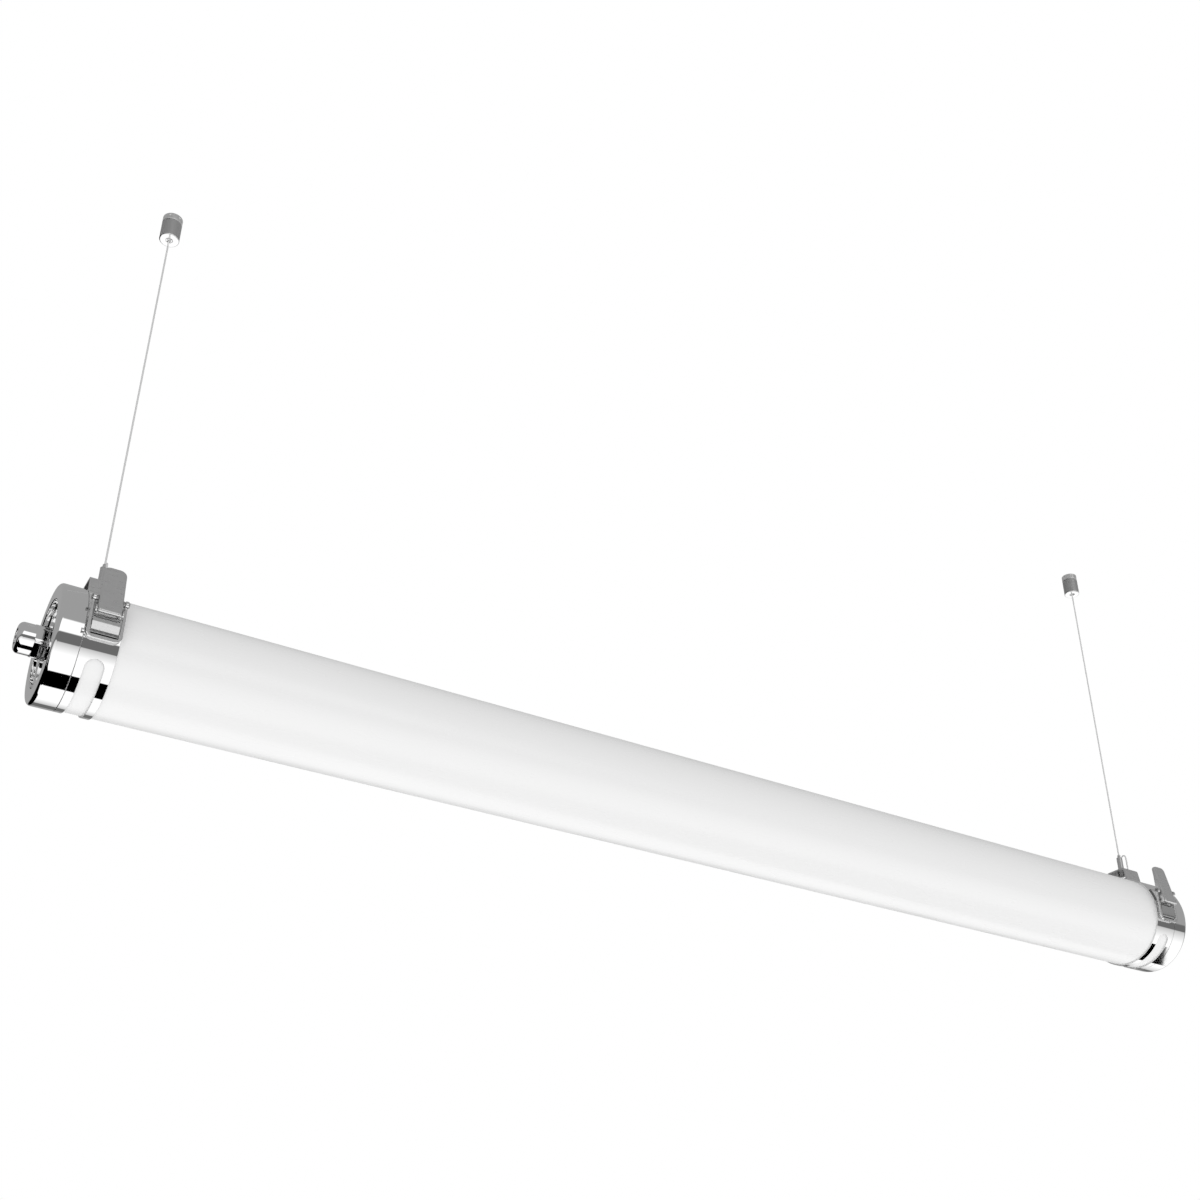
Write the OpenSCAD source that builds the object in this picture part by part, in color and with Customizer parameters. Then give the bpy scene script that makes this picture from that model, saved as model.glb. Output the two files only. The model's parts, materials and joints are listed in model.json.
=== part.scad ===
// Tubular vapor tight light fixture on two suspension wires.
// The origin is midway between the two ceiling fixings, on the ceiling.
// +X runs along the tube away from the cable gland, -Y is the latch side, +Z is up.

/* [Lamp body] */
// Length over the faces of the two end caps
body_len = 1175; // [700:5:1600]
// Outside diameter of the diffuser tube
tube_od = 90; // [84:1:104]
// Wall of the diffuser tube
tube_wall = 2.5; // [2:0.1:3]
// Distance of each hanging point from the cap face next to it
hang_inset = 32; // [32:0.5:36]
// Height of the ceiling above the axis of the tube
drop = 442; // [300:1:1500]

/* [End caps] */
// Length of the cap's visible rim
rim_len = 18.6; // [17:0.1:18.6]
// Thickness of the cap skirt that covers the end of the tube
skirt_t = 1.15; // [0.8:0.05:1.2]
// Radius of the rounded front edge
rim_round = 3; // [1:0.5:5]
// Radius of the outer recess in the cap face
recess_r = 34; // [32:0.5:38]
// Width of the ledge between the outer and the inner recess
ledge_w = 3; // [1:0.5:4]
// Depth of each of the two recess steps
recess_step = 4; // [2:0.5:4]
// Thickness of the cap's end plate
cap_plate = 4; // [3:0.5:5]
// Length of the plug inside the tube, from the cap face
plug_end = 40; // [38:1:48]
// Wall of the plug
plug_wall = 4.2; // [4:0.1:5]
// Section diameter of the two seal rings on each plug
seal_d = 2.2; // [1.6:0.1:2.4]

/* [Clamp band] */
// Width of the clamp band
band_w = 26; // [26:0.5:30]
// Thickness of the clamp band
band_t = 1.2; // [1:0.1:1.6]
// Width of the long window in the band
window_w = 14; // [8:0.5:18]
// Angle from straight down at which the window ends on each side
window_half_angle = 60; // [40:1:60]

/* [Latch] */
// Thickness of the pressed sheet parts of the latch
sheet = 1.2; // [1:0.1:1.3]
// Width of the lever
lever_w = 17.6; // [15:0.2:17.6]
// Length of the lever above its hinge pin
lever_len = 38.7; // [34:0.1:46]
// Lean of the lever's top towards the tube
lever_tilt = 11.3; // [9:0.1:12]
// Distance from the band's surface out to the axis of the hinge pin
hinge_stand = 5.2; // [5.2:0.1:5.8]
// Height of the hinge pin above the axis of the tube
hinge_h = 10; // [9.5:0.1:11]
// Distance between the hinge pin and the bail pin
pin_gap = 10.1; // [9.8:0.1:10.6]
// Diameter of the two latch pins
pin_d = 3; // [2.4:0.1:3]
// Width of each side arm of the bail
bail_arm_w = 2.4; // [2:0.1:2.5]
// Thickness of the bail's flat frame
bail_t = 1.8; // [1.4:0.1:1.8]
// Width of the hook that the bail pulls on
hook_w = 19.6; // [16:0.2:19.6]

/* [Hanger] */
// Width of the hanger bridge along the tube
bridge_w = 21.4; // [18:0.2:24]
// Length of the hanger bridge across the tube
bridge_len = 28; // [26:0.5:32]
// Length of the bridge's top face; its walls lean in towards it
bridge_top_len = 23.6; // [23:0.2:25]
// Height of the bridge's top face above the band
bridge_rise = 12.7; // [11:0.1:16]
// Thickness of the hanger bridge
bridge_t = 1.5; // [1.2:0.1:2]

/* [Suspension] */
// Diameter of the suspension wire
wire_d = 1.5; // [1.2:0.1:1.6]
// Diameter of the gripper barrel
gripper_d = 6; // [5.5:0.1:8]
// Length of the gripper barrel above its hexagon
gripper_len = 13; // [11:0.5:20]
// Height of the hexagon at the foot of the gripper
gripper_hex_h = 4; // [3:0.5:6]
// Diameter of the ceiling fitting
ceiling_d = 17; // [16:0.5:22]
// Height of the ceiling fitting
ceiling_h = 25; // [24:0.5:35]
// Height of the base that is screwed to the ceiling
base_h = 6.5; // [5:0.5:8]
// Diameter of the screw hole in the base
screw_hole_d = 4.5; // [3.5:0.1:5]
// Radius of the ball at the top of the wire
ball_r = 2.6; // [2.4:0.1:2.8]

/* [Cable gland] */
// Diameter of the gland's thread
gland_thread_d = 20; // [18:1:22]
// Size of the gland's hexagons across the flats
gland_flats = 24; // [24:0.5:28]
// Length of the gland's dome nut
gland_nut_len = 21.5; // [18:0.5:26]
// Diameter of the cable hole in the gland's seal
cable_hole_d = 9; // [6:0.5:10]

/* [Light source] */
// Level gap between the carrier's edge and the tube's inner wall
carrier_gap = 7.5; // [6:0.5:11]
// Thickness of the carrier plate
carrier_t = 2; // [1.5:0.1:3]
// Height of the carrier's side flanges
carrier_flange = 12; // [8:1:14]
// Height of the carrier plate's underside above the axis of the tube
carrier_z = 6; // [4:0.5:8]
// Width of the circuit boards
board_w = 24; // [20:1:40]
// Distance from each end of the carrier to the first board
board_margin = 20; // [12:1:30]
// Number of boards in the row
board_count = 4; // [2:1:6]
// Number of light-emitting diodes on each board
leds_per_board = 12; // [6:1:24]
// Distance from the carrier's end to the middle of the terminal block
terminal_inset = 45; // [35:1:60]
// Distance between the terminal block and the driver
driver_gap = 40; // [30:1:60]
// Length of the driver's case
driver_len = 280; // [200:5:320]
// Width of the driver's case
driver_w = 30; // [24:1:40]
// Height of the driver's case
driver_h = 21; // [18:1:24]

/* [Hidden] */
// Running clearance of pins in their holes
run_gap = 0.05;
// Clearance between flat parts of the latch that move past each other
pass_gap = 0.1;
// Gap between faces that rest on each other
face_gap = 0.05;
tube_r = tube_od/2;
bore_r = tube_r - tube_wall;
band_in = tube_r + 0.1;
band_r = band_in + band_t;
skirt_in = tube_r + 0.15;
cap_r = skirt_in + skirt_t;
hang_x = body_len/2 - hang_inset;
tube_end = recess_floor() + cap_plate + 0.3;
plug_r = bore_r - 0.3;
seal_from_face = [24, 31];
inner_recess_r = recess_r - ledge_w;

// The band runs from its lower end, round the bottom and the back, to its upper end
band_lower_end = 83.5;
band_upper_end = 78;

hinge = [-(band_r + hinge_stand), hinge_h];
bail_pivot = hinge + turned([-0.5, pin_gap], lever_tilt);
knuckle_r = pin_d/2 + 2.4;
ear_in = lever_w/2 + pass_gap;
ear_out = ear_in + sheet;
arm_in = ear_out + 0.3;
arm_out = arm_in + bail_arm_w;
bail_y = -(band_r + 3.1);
crossbar_z = -10.7;
crossbar_h = 2.4;
yoke_r0 = band_r + face_gap;
yoke_r1 = yoke_r0 + sheet;
yoke_from = 58;
yoke_to = 76;
rivet_phi = 63;
rivet_r = 2.2;
rivet_head = 0.9;
// Outline of the hook, by distance out from the band's surface and by height
hook_points = [
    [-3, 7.2], [0.7, 7.2], [1.6, 5.2], [2.6, 3.2], [3.3, 0], [4, -5], [4.1, -8.2], [3.6, -9.1], [3.1, -9.1],
    [2.9, -8.5], [-3, -8.5]
];

foot_len = 6;
bridge_top = band_r + bridge_rise;
stud_r = 2;
nut_h = 3.2;
gripper_top = bridge_top + gripper_hex_h + gripper_len;
plunger_r = 1.6;
plunger_out = 3;
plunger_in = 4;
wire_end = gripper_top - 2;
// Route of the spare end of the wire, from the gripper's side to below the bridge's top.
// Each point gives y, and z above the bridge's top face.
tail_route = [
    [-3.6, 16.35], [-4.2, 17], [-5, 17.4], [-6, 17.5], [-7, 17.2], [-7.8, 16.5],
    [-8.3, 15.5], [-8.5, 14.7], [-8.7, 11.5], [-8.7, 8], [-8.7, 4], [-8.7, 0], [-8.7, -3],
    [-8.7, -6]
];

thread_r = ceiling_d/2 - 2.5;
thread_len = 7.5;
barrel_top = -base_h - 0.4;
swing_z = -ceiling_h + 4.5;
seat_gap = 0.1;
neck_r = wire_d/2 + 0.45;
neck_end = swing_z - 3.5;

gland_x = -body_len/2 + recess_floor();
hex_h = 5;
gland_collar = 0.5;
thread_in = cap_plate + 6;
locknut_h = 4;
gland_wall = 1.5;
gland_neck_r = gland_flats/2 - 3;
dome_start = gland_collar + hex_h + 0.3;

carrier_x = body_len/2 - plug_end - 3;
carrier_w = 2*(bore_r - carrier_gap);
bracket_t = 3;
shelf_len = 12;
shelf_t = 3;
shelf_y = carrier_w/2 - 11;
board_t = 1.6;
board_gap = 0.5;
led_w = 2.8;
led_h = 0.8;
led_row_y = 6;
board_len = 2*(carrier_x - board_margin)/board_count - board_gap;
board_pitch = board_len + board_gap;
terminal_size = [30, 22, 15];
terminal_x = -carrier_x + terminal_inset;
driver_x = terminal_x + terminal_size[0]/2 + driver_gap;
plate_top = carrier_z + carrier_t;
lead_d = 2;

$fn = 64;

// Depth of the cap's recess floor below its face
function recess_floor() = 2*recess_step;
// Point at radius r and angle phi, counted from straight up towards the latch side
function polar(r, phi) = [-r*sin(phi), r*cos(phi)];
// Point p turned about the origin of the cross-section, top towards the back for a positive a
function turned(p, a) = [p[0]*cos(a) + p[1]*sin(a), -p[0]*sin(a) + p[1]*cos(a)];
// Angle of point p, counted as in polar()
function angle_of(p) = atan2(-p[0], p[1]);

// A cross-section outline in y and z, made w wide along the tube
module across(w) {
    translate([-w/2, 0, 0]) rotate([90, 0, 90]) linear_extrude(w) children();
}

// Turns a shape about Z into one about the tube's axis, counting angles as polar() does
module about_tube() {
    rotate([180, 0, 0]) rotate([0, 90, 0]) children();
}

// Part of a ring about the tube's axis
module arc_strip(r0, r1, from, to, w) {
    about_tube() rotate([0, 0, from]) rotate_extrude(angle = to - from, $fn = 128)
        translate([r0, -w/2]) square([r1 - r0, w]);
}

// A round bar along the tube through point p of the cross-section
module bar(p, r, w) {
    translate([-w/2, p[0], p[1]]) rotate([0, 90, 0]) cylinder(r = r, h = w);
}

// A pair of copies, at +x and -x
module both_sides(x) {
    for (side = [-1, 1]) translate([side*x, 0, 0]) children();
}

// Places a left-hand clamp at its hanging point
module left_end() {
    translate([-hang_x, 0, -drop]) children();
}

// Places the mirror image of a left-hand clamp at the other hanging point
module right_end() {
    translate([hang_x, 0, -drop]) mirror([1, 0, 0]) children();
}

// Places a left-hand cap, whose outline is given by radius and by distance from its face
module left_cap_place() {
    translate([-body_len/2, 0, -drop]) rotate([0, 90, 0]) children();
}

module right_cap_place() {
    mirror([1, 0, 0]) left_cap_place() children();
}

// A tube swept along points, with closed ends; side_way is square to the whole route
function unit(v) = v/norm(v);
function heading(pts, i) =
    unit(pts[min(i + 1, len(pts) - 1)] - pts[max(i - 1, 0)]);
module swept(pts, r, side_way = [1, 0, 0], sides = 8) {
    rings = [for (i = [0:len(pts) - 1])
        let (d = heading(pts, i), u = unit(side_way - (side_way*d)*d), v = cross(d, u))
        for (k = [0:sides - 1])
            pts[i] + r*(cos(360*k/sides)*u + sin(360*k/sides)*v)];
    walls = [for (i = [0:len(pts) - 2], k = [0:sides - 1])
        let (a = i*sides + k, b = i*sides + (k + 1)%sides)
        each [[a, a + sides, b], [b, a + sides, b + sides]]];
    first = [for (k = [1:sides - 2]) [0, k, k + 1]];
    base = (len(pts) - 1)*sides;
    last = [for (k = [1:sides - 2]) [base, base + k + 1, base + k]];
    polyhedron(points = rings, faces = concat(walls, first, last));
}

module diffuser_tube() {
    length = body_len - 2*tube_end;
    color("white") translate([-length/2, 0, -drop]) rotate([0, 90, 0]) difference() {
        cylinder(r = tube_r, h = length, $fn = 128);
        translate([0, 0, -1]) cylinder(r = bore_r, h = length + 2, $fn = 128);
    }
}

// Half section of the cap, by radius and by distance from its face
module cap_section() {
    floor_z = recess_floor();
    back = floor_z + cap_plate;
    difference() {
        union() {
            translate([0, floor_z]) square([inner_recess_r + 1, cap_plate]);
            translate([inner_recess_r, recess_step]) square([ledge_w + 1, back - recess_step]);
            translate([recess_r, 0]) square([cap_r - rim_round - recess_r, back]);
            translate([recess_r, rim_round]) square([cap_r - recess_r, back - rim_round]);
            translate([cap_r - rim_round, rim_round]) circle(r = rim_round);
            translate([skirt_in, rim_round]) square([cap_r - skirt_in, rim_len - rim_round]);
            translate([plug_r - plug_wall, floor_z]) square([plug_wall, plug_end - floor_z]);
        }
        for (z = seal_from_face)
            translate([bore_r - seal_d, z - seal_d/2 - 0.2])
                square([seal_d, seal_d + 0.4]);
    }
}

module cap_screw_places() {
    for (y = [-1, 1]) translate([-bracket_screw_z(), y*bracket_screw_y(), 0]) children();
}

// The two bracket screws sit in the wall of the plug
function bracket_screw_y() = (plug_r - plug_wall/2)*cos(35);
function bracket_screw_z() = -(plug_r - plug_wall/2)*sin(35);

module end_cap() {
    color("silver") difference() {
        rotate_extrude($fn = 128) cap_section();
        cap_screw_places() translate([0, 0, plug_end - 5.5]) cylinder(r = 1.25, h = 7, $fn = 24);
    }
}

module left_end_cap() {
    difference() {
        left_cap_place() end_cap();
        left_cap_place() translate([0, 0, recess_floor() - 1])
            cylinder(r = gland_thread_d/2 + run_gap, h = cap_plate + 2);
    }
}

module cap_seals() {
    color("dimgray") for (z = seal_from_face)
        translate([0, 0, z]) rotate_extrude($fn = 128)
            translate([bore_r - seal_d/2 - 0.02, 0]) circle(d = seal_d - 0.1, $fn = 24);
}

// Half round or whole, the ends of the window are round in the band's surface
module window_end(phi) {
    about_tube() rotate([0, 0, phi]) rotate([0, 90, 0])
        cylinder(d = window_w, h = band_r + 5);
}

module clamp_band() {
    end_angle = asin(window_w/2/band_r);
    color("silver") {
        difference() {
            arc_strip(band_in, band_r, band_lower_end, 360 + band_upper_end, band_w);
            arc_strip(band_in - 2, band_r + 2, 180 - window_half_angle + end_angle,
                180 + window_half_angle - end_angle, window_w);
            window_end(180 - window_half_angle + end_angle);
            window_end(180 + window_half_angle - end_angle);
        }
        locating_tab();
    }
}

// A small tab on the band that laps over the cap's rim and keeps the two in line
module locating_tab() {
    tab_from = 96;
    tab_to = 101;
    tab_r = band_r + 0.6;
    translate([-band_w/2 + 1, 0, 0]) arc_strip(band_r - 0.2, tab_r, tab_from, tab_to, 2);
    translate([-band_w/2 - 1.2, 0, 0])
        arc_strip(max(cap_r, band_r - 0.2) + face_gap, tab_r, tab_from, tab_to, 2.8);
}

// Top, two leaning walls and two inward feet of the hanger bridge
module bridge_section() {
    leg_y = bridge_len/2;
    top_y = bridge_top_len/2;
    foot_r = band_r + face_gap;
    foot_z = sqrt(foot_r*foot_r - leg_y*leg_y);
    lean = (leg_y - top_y)/(bridge_top - foot_z);
    wall = bridge_t/cos(atan(lean));
    difference() {
        union() {
            translate([-top_y, bridge_top - bridge_t]) square([bridge_top_len, bridge_t]);
            for (side = [-1, 1]) {
                polygon([[side*(leg_y + lean), foot_z - 1], [side*top_y, bridge_top],
                    [side*(top_y - wall), bridge_top], [side*(leg_y + lean - wall), foot_z - 1]]);
                intersection() {
                    circle(r = foot_r + bridge_t, $fn = 128);
                    translate([side*(leg_y - bridge_t/2 - foot_len/2) - foot_len/2, foot_r*0.8])
                        square([foot_len, bridge_rise]);
                }
            }
        }
        circle(r = foot_r, $fn = 128);
    }
}

module rivet_places(phis, x) {
    for (phi = phis, side = [-1, 1])
        about_tube() rotate([0, 0, phi]) translate([0, 0, side*x]) rotate([0, 90, 0]) children();
}

module hanger_bridge() {
    color("lightgray") difference() {
        across(bridge_w) bridge_section();
        translate([0, 0, bridge_top - 5]) cylinder(r = stud_r + face_gap, h = 10);
        translate([0, tail_route[11][0], bridge_top - 5])
            cylinder(d = wire_d + 0.7, h = 10, $fn = 24);
    }
}

// A rivet's dome head on a sheet whose top face is at radius r
module rivet(r) {
    translate([0, 0, band_r + face_gap]) cylinder(r = 1.45, h = r - band_r, $fn = 24);
    translate([0, 0, r + face_gap]) cylinder(r1 = rivet_r, r2 = rivet_r*0.6, h = rivet_head);
}

// Outline of one ear of the yoke, from the band up to the hinge pin
module ear_section() {
    hull() {
        translate(hinge) circle(r = pin_d/2 + 2, $fn = 32);
        polygon([polar(yoke_r0, yoke_from), polar(yoke_r1, yoke_from), polar(yoke_r1, yoke_to),
            polar(yoke_r0, yoke_to)]);
    }
}

module latch_yoke() {
    color("silver") difference() {
        union() {
            arc_strip(yoke_r0, yoke_r1, yoke_from, yoke_to, 2*ear_out);
            both_sides((ear_in + ear_out)/2) difference() {
                across(sheet) ear_section();
                bar([0, 0], yoke_r0, 2*sheet, $fn = 128);
            }
        }
        bar(hinge, pin_d/2, 3*ear_out);
        rivet_places([rivet_phi], 4.5) cylinder(r = 1.5, h = 2*band_r, $fn = 24);
    }
}

module yoke_rivets() {
    color("gainsboro") rivet_places([rivet_phi], 4.5) rivet(yoke_r1);
}

// The hook on the band's lower end, which the bail's crossbar pulls up against
module latch_hook() {
    color("silver") difference() {
        across(hook_w) polygon([for (p = hook_points) [-(band_r + p[0]), p[1]]]);
        bar([0, 0], yoke_r0, 2*hook_w, $fn = 128);
    }
}

module in_lever_frame() {
    translate(hinge) rotate([0, 0, -lever_tilt]) children();
}

// Side outline of the lever in its own frame, with the hinge pin at the origin
module lever_flange_section() {
    polygon([[-knuckle_r, 0], [-knuckle_r, lever_len], [2 - knuckle_r, lever_len],
        [3.4 - knuckle_r, lever_len - 10], [5.6 - knuckle_r, pin_gap + 8],
        [2.8, pin_gap + 1], [knuckle_r, 0]]);
    circle(r = knuckle_r);
    translate([-0.5, pin_gap]) circle(r = knuckle_r - 0.5);
}

// The lever's face runs down from its top and curls under the hinge pin
module lever_web_section() {
    translate([-knuckle_r, 0]) square([sheet, lever_len]);
    intersection() {
        difference() {
            circle(r = knuckle_r);
            circle(r = knuckle_r - sheet);
        }
        translate([-knuckle_r, -knuckle_r]) square(knuckle_r);
    }
}

// Removes the two square top corners of the lever's face
module lever_top_corners() {
    corner = 4;
    for (side = [-1, 1])
        translate([side*(lever_w/2 - corner/2 + 0.05), 0, 0]) difference() {
            translate([-corner/2 - 0.05, -10, lever_len - corner])
                cube([corner + 0.1, 30, corner + 1]);
            translate([-side*(corner/2 + 0.05), -11, lever_len - corner])
                rotate([-90, 0, 0]) cylinder(r = corner, h = 32);
        }
}

module latch_lever() {
    color("silver") difference() {
        union() {
            across(lever_w) in_lever_frame() lever_web_section();
            both_sides(lever_w/2 - sheet/2) across(sheet) in_lever_frame()
                lever_flange_section();
        }
        bar(hinge, pin_d/2 + run_gap, 2*lever_w);
        bar(bail_pivot, pin_d/2, 2*lever_w);
        translate([0, hinge[0], hinge[1]]) rotate([-lever_tilt, 0, 0]) lever_top_corners();
    }
}

module lever_pin() {
    color("gainsboro") bar(hinge, pin_d/2, 2*ear_out + pass_gap);
}

module bail_pin() {
    head = 0.7;
    shoulder = arm_in - lever_w/2 - 0.1;
    color("gainsboro") difference() {
        union() {
            bar(bail_pivot, pin_d/2, 2*arm_out + 2*head);
            both_sides((lever_w/2 + arm_in)/2) bar(bail_pivot, pin_d/2 + 0.5, shoulder);
            both_sides(arm_out + run_gap + head/2) bar(bail_pivot, pin_d/2 + 0.7, head);
        }
        both_sides(arm_out + head + 1) bar(bail_pivot, 0.8, 4);
    }
}

// Front outline of the bail, in x and z: a rounded frame w out from the inner one
module bail_outline(half, bottom, corner) {
    translate([-half, bottom + corner]) square([2*half, bail_pivot[1] - bottom - corner]);
    translate([corner - half, bottom]) square([2*(half - corner), corner + 1]);
    for (side = [-1, 1]) translate([side*(half - corner), bottom + corner]) circle(r = corner);
}

module latch_bail() {
    color("lightgray") difference() {
        union() {
            translate([0, bail_y + bail_t/2, 0]) rotate([90, 0, 0]) linear_extrude(bail_t)
                difference() {
                    bail_outline(arm_out, crossbar_z - crossbar_h/2, 5.5);
                    bail_outline(arm_in, crossbar_z + crossbar_h/2, 1);
                    translate([-arm_in, 5]) square([2*arm_in, bail_pivot[1]]);
                }
            both_sides((arm_in + arm_out)/2) bar(bail_pivot, pin_d/2 + 1.5, bail_arm_w);
        }
        both_sides((arm_in + arm_out)/2) bar(bail_pivot, pin_d/2 + run_gap, 2*bail_arm_w);
    }
}

module gripper_body() {
    color("silver") translate([0, 0, bridge_top]) difference() {
        union() {
            translate([0, 0, -bridge_t - nut_h - 0.8]) cylinder(r = stud_r, h = 8);
            cylinder(r = gripper_d/2 + 1, h = gripper_hex_h, $fn = 6);
            cylinder(r = gripper_d/2, h = gripper_hex_h + gripper_len);
        }
        translate([0, 0, gripper_hex_h + gripper_len - plunger_in - 2.5])
            cylinder(r = plunger_r + run_gap, h = plunger_in + 3);
        translate([0, 0, gripper_hex_h + 2]) cylinder(r = wire_d/2 + 0.2, h = gripper_len);
    }
}

module gripper_nut() {
    color("silver") translate([0, 0, bridge_top - bridge_t - face_gap - nut_h]) difference() {
        cylinder(r = stud_r*2, h = nut_h, $fn = 6);
        translate([0, 0, -1]) cylinder(r = stud_r + face_gap, h = nut_h + 2);
    }
}

module gripper_plunger() {
    color("gainsboro") translate([0, 0, gripper_top - plunger_in]) difference() {
        cylinder(r = plunger_r, h = plunger_in + plunger_out);
        translate([0, 0, -1]) cylinder(r = wire_d/2 + 0.2, h = plunger_in + plunger_out + 2);
    }
}

module suspension_wire() {
    top = drop + neck_end;
    color("silver") swept([[0, 0, wire_end], [0, 0, (wire_end + top)/2], [0, 0, top]], wire_d/2);
}

module wire_tail() {
    color("silver") swept([for (p = tail_route) [0, p[0], bridge_top + p[1]]], wire_d/2);
}

module wire_ball() {
    color("silver") translate([0, 0, drop]) {
        translate([0, 0, swing_z]) sphere(r = ball_r);
        translate([0, 0, neck_end]) cylinder(r = neck_r, h = swing_z - neck_end);
    }
}

module ceiling_base() {
    color("lightgray") translate([0, 0, drop]) difference() {
        union() {
            translate([0, 0, -base_h]) cylinder(d = ceiling_d, h = base_h);
            translate([0, 0, -base_h - thread_len]) cylinder(r = thread_r, h = thread_len + 1);
        }
        translate([0, 0, -base_h - thread_len - 1])
            cylinder(r = thread_r - 1.2, h = thread_len + base_h - 3);
        translate([0, 0, -base_h]) cylinder(d = screw_hole_d, h = base_h + 1, $fn = 32);
        for (a = [0:60:300])
            rotate([0, 0, a]) translate([ceiling_d/2, 0, -base_h/2])
                cylinder(r = 0.7, h = 2.4, center = true, $fn = 24);
    }
}

module ceiling_barrel() {
    throat = swing_z - 1.4;
    color("darkgray") translate([0, 0, drop]) difference() {
        translate([0, 0, -ceiling_h]) cylinder(d = ceiling_d, h = ceiling_h + barrel_top);
        translate([0, 0, -base_h - thread_len - 2])
            cylinder(r = thread_r + seat_gap, h = thread_len + 5);
        translate([0, 0, swing_z]) cylinder(r = ball_r + seat_gap, h = ceiling_h);
        translate([0, 0, swing_z]) sphere(r = ball_r + seat_gap);
        translate([0, 0, -ceiling_h])
            cylinder(r1 = neck_r + 1.7, r2 = neck_r + 0.5, h = ceiling_h + throat);
    }
}

module in_gland_frame() {
    translate([gland_x, 0, -drop]) rotate([0, -90, 0]) children();
}

module gland_body() {
    color("silver") in_gland_frame() difference() {
        union() {
            translate([0, 0, -thread_in]) cylinder(d = gland_thread_d, h = thread_in + 1);
            translate([0, 0, gland_collar]) cylinder(d = gland_flats/cos(30), h = hex_h, $fn = 6);
            cylinder(r = gland_neck_r, h = hex_h + 9);
        }
        translate([0, 0, -thread_in - 1]) cylinder(r = 7, h = thread_in + hex_h + 2);
        translate([0, 0, hex_h]) cylinder(r = gland_neck_r - gland_wall, h = 20);
    }
}

module gland_gasket() {
    color("dimgray") in_gland_frame() difference() {
        cylinder(r = gland_flats/2 - 0.4, h = gland_collar);
        translate([0, 0, -1]) cylinder(d = gland_thread_d + 2*face_gap, h = 3);
    }
}

module gland_locknut() {
    color("silver") in_gland_frame() translate([0, 0, -cap_plate - 0.05 - locknut_h]) difference() {
        cylinder(d = (gland_flats + 1)/cos(30), h = locknut_h, $fn = 6);
        translate([0, 0, -1]) cylinder(d = gland_thread_d + 2*face_gap, h = locknut_h + 2);
    }
}

module gland_nut() {
    hex_len = gland_nut_len*0.45;
    round_r = 4;
    mouth_r = 6.2;
    dome_r = gland_flats/2 - 0.2;
    color("silver") in_gland_frame() translate([0, 0, dome_start]) difference() {
        union() {
            cylinder(d = gland_flats/cos(30), h = hex_len, $fn = 6);
            rotate_extrude() {
                square([dome_r, gland_nut_len - round_r]);
                square([dome_r - round_r, gland_nut_len]);
                translate([dome_r - round_r, gland_nut_len - round_r]) circle(r = round_r);
            }
        }
        translate([0, 0, -1]) cylinder(r = gland_neck_r + run_gap, h = gland_nut_len - 2);
        translate([0, 0, gland_nut_len - 5]) cylinder(r = mouth_r, h = 10);
    }
}

module gland_seal() {
    start = hex_h + face_gap;
    length = dome_start + gland_nut_len - 3.4 - start;
    color("dimgray") in_gland_frame() translate([0, 0, start]) difference() {
        cylinder(r = gland_neck_r - gland_wall - face_gap, h = length);
        translate([0, 0, -1]) cylinder(d = cable_hole_d, h = length + 2);
    }
}

// Side flanges and plate of the carrier
module carrier_section() {
    half = carrier_w/2;
    translate([-half, carrier_z]) square([carrier_w, carrier_t]);
    for (side = [-1, 1])
        translate([side*(half - carrier_t/2) - carrier_t/2, carrier_z])
            square([carrier_t, carrier_t + carrier_flange]);
    for (side = [-1, 1])
        translate([side*(board_w/2 + 1.2) - 0.75, carrier_z - board_t])
            square([1.5, board_t + 1]);
}

function shelf_screw_x() = carrier_x - shelf_len/2;

module led_carrier() {
    color("silver") translate([0, 0, -drop]) difference() {
        across(2*carrier_x) carrier_section();
        for (side = [-1, 1], y = [-1, 1])
            translate([side*shelf_screw_x(), y*shelf_y, 0]) cylinder(r = 1.6, h = 30, $fn = 24);
        translate([lead_hole_x(), 0, 0]) cylinder(r = 5, h = 30, $fn = 32);
    }
}

function lead_hole_x() = driver_x + driver_len + 14;

module circuit_boards() {
    color("whitesmoke") translate([0, 0, carrier_z - board_t - drop]) difference() {
        for (i = [0:board_count - 1])
            translate([(i - board_count/2)*board_pitch + board_gap/2, -board_w/2, 0])
                cube([board_len, board_w, board_t - 0.02]);
        translate([lead_hole_x(), 0, -1]) cylinder(r = 2.5, h = 5, $fn = 32);
    }
}

module leds() {
    pitch = board_len/leds_per_board;
    color("gold") for (i = [0:board_count - 1], j = [0:leds_per_board - 1], side = [-1, 1])
        translate([(i - board_count/2)*board_pitch + board_gap/2 + (j + 0.5)*pitch,
            side*led_row_y, carrier_z - board_t - led_h/2 - 0.02 - drop])
            cube([led_w, led_w, led_h], center = true);
}

module led_driver() {
    cover = 1.2;
    color("gainsboro") translate([driver_x, -driver_w/2, plate_top + face_gap - drop])
        difference() {
            cube([driver_len, driver_w, driver_h]);
            for (end = [0, 1]) translate([end*(driver_len - 12), 0, driver_h - cover])
                translate([-1, -1, 0]) cube([14, driver_w + 2, cover + 1]);
            for (hole = [[0, -3], [0, 3], [driver_len, -1.2], [driver_len, 1.2]])
                translate([hole[0], driver_w/2 + hole[1], driver_h/2]) rotate([0, 90, 0])
                    cylinder(r = lead_d/2 + 0.05, h = 8, center = true, $fn = 24);
        }
}

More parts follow.
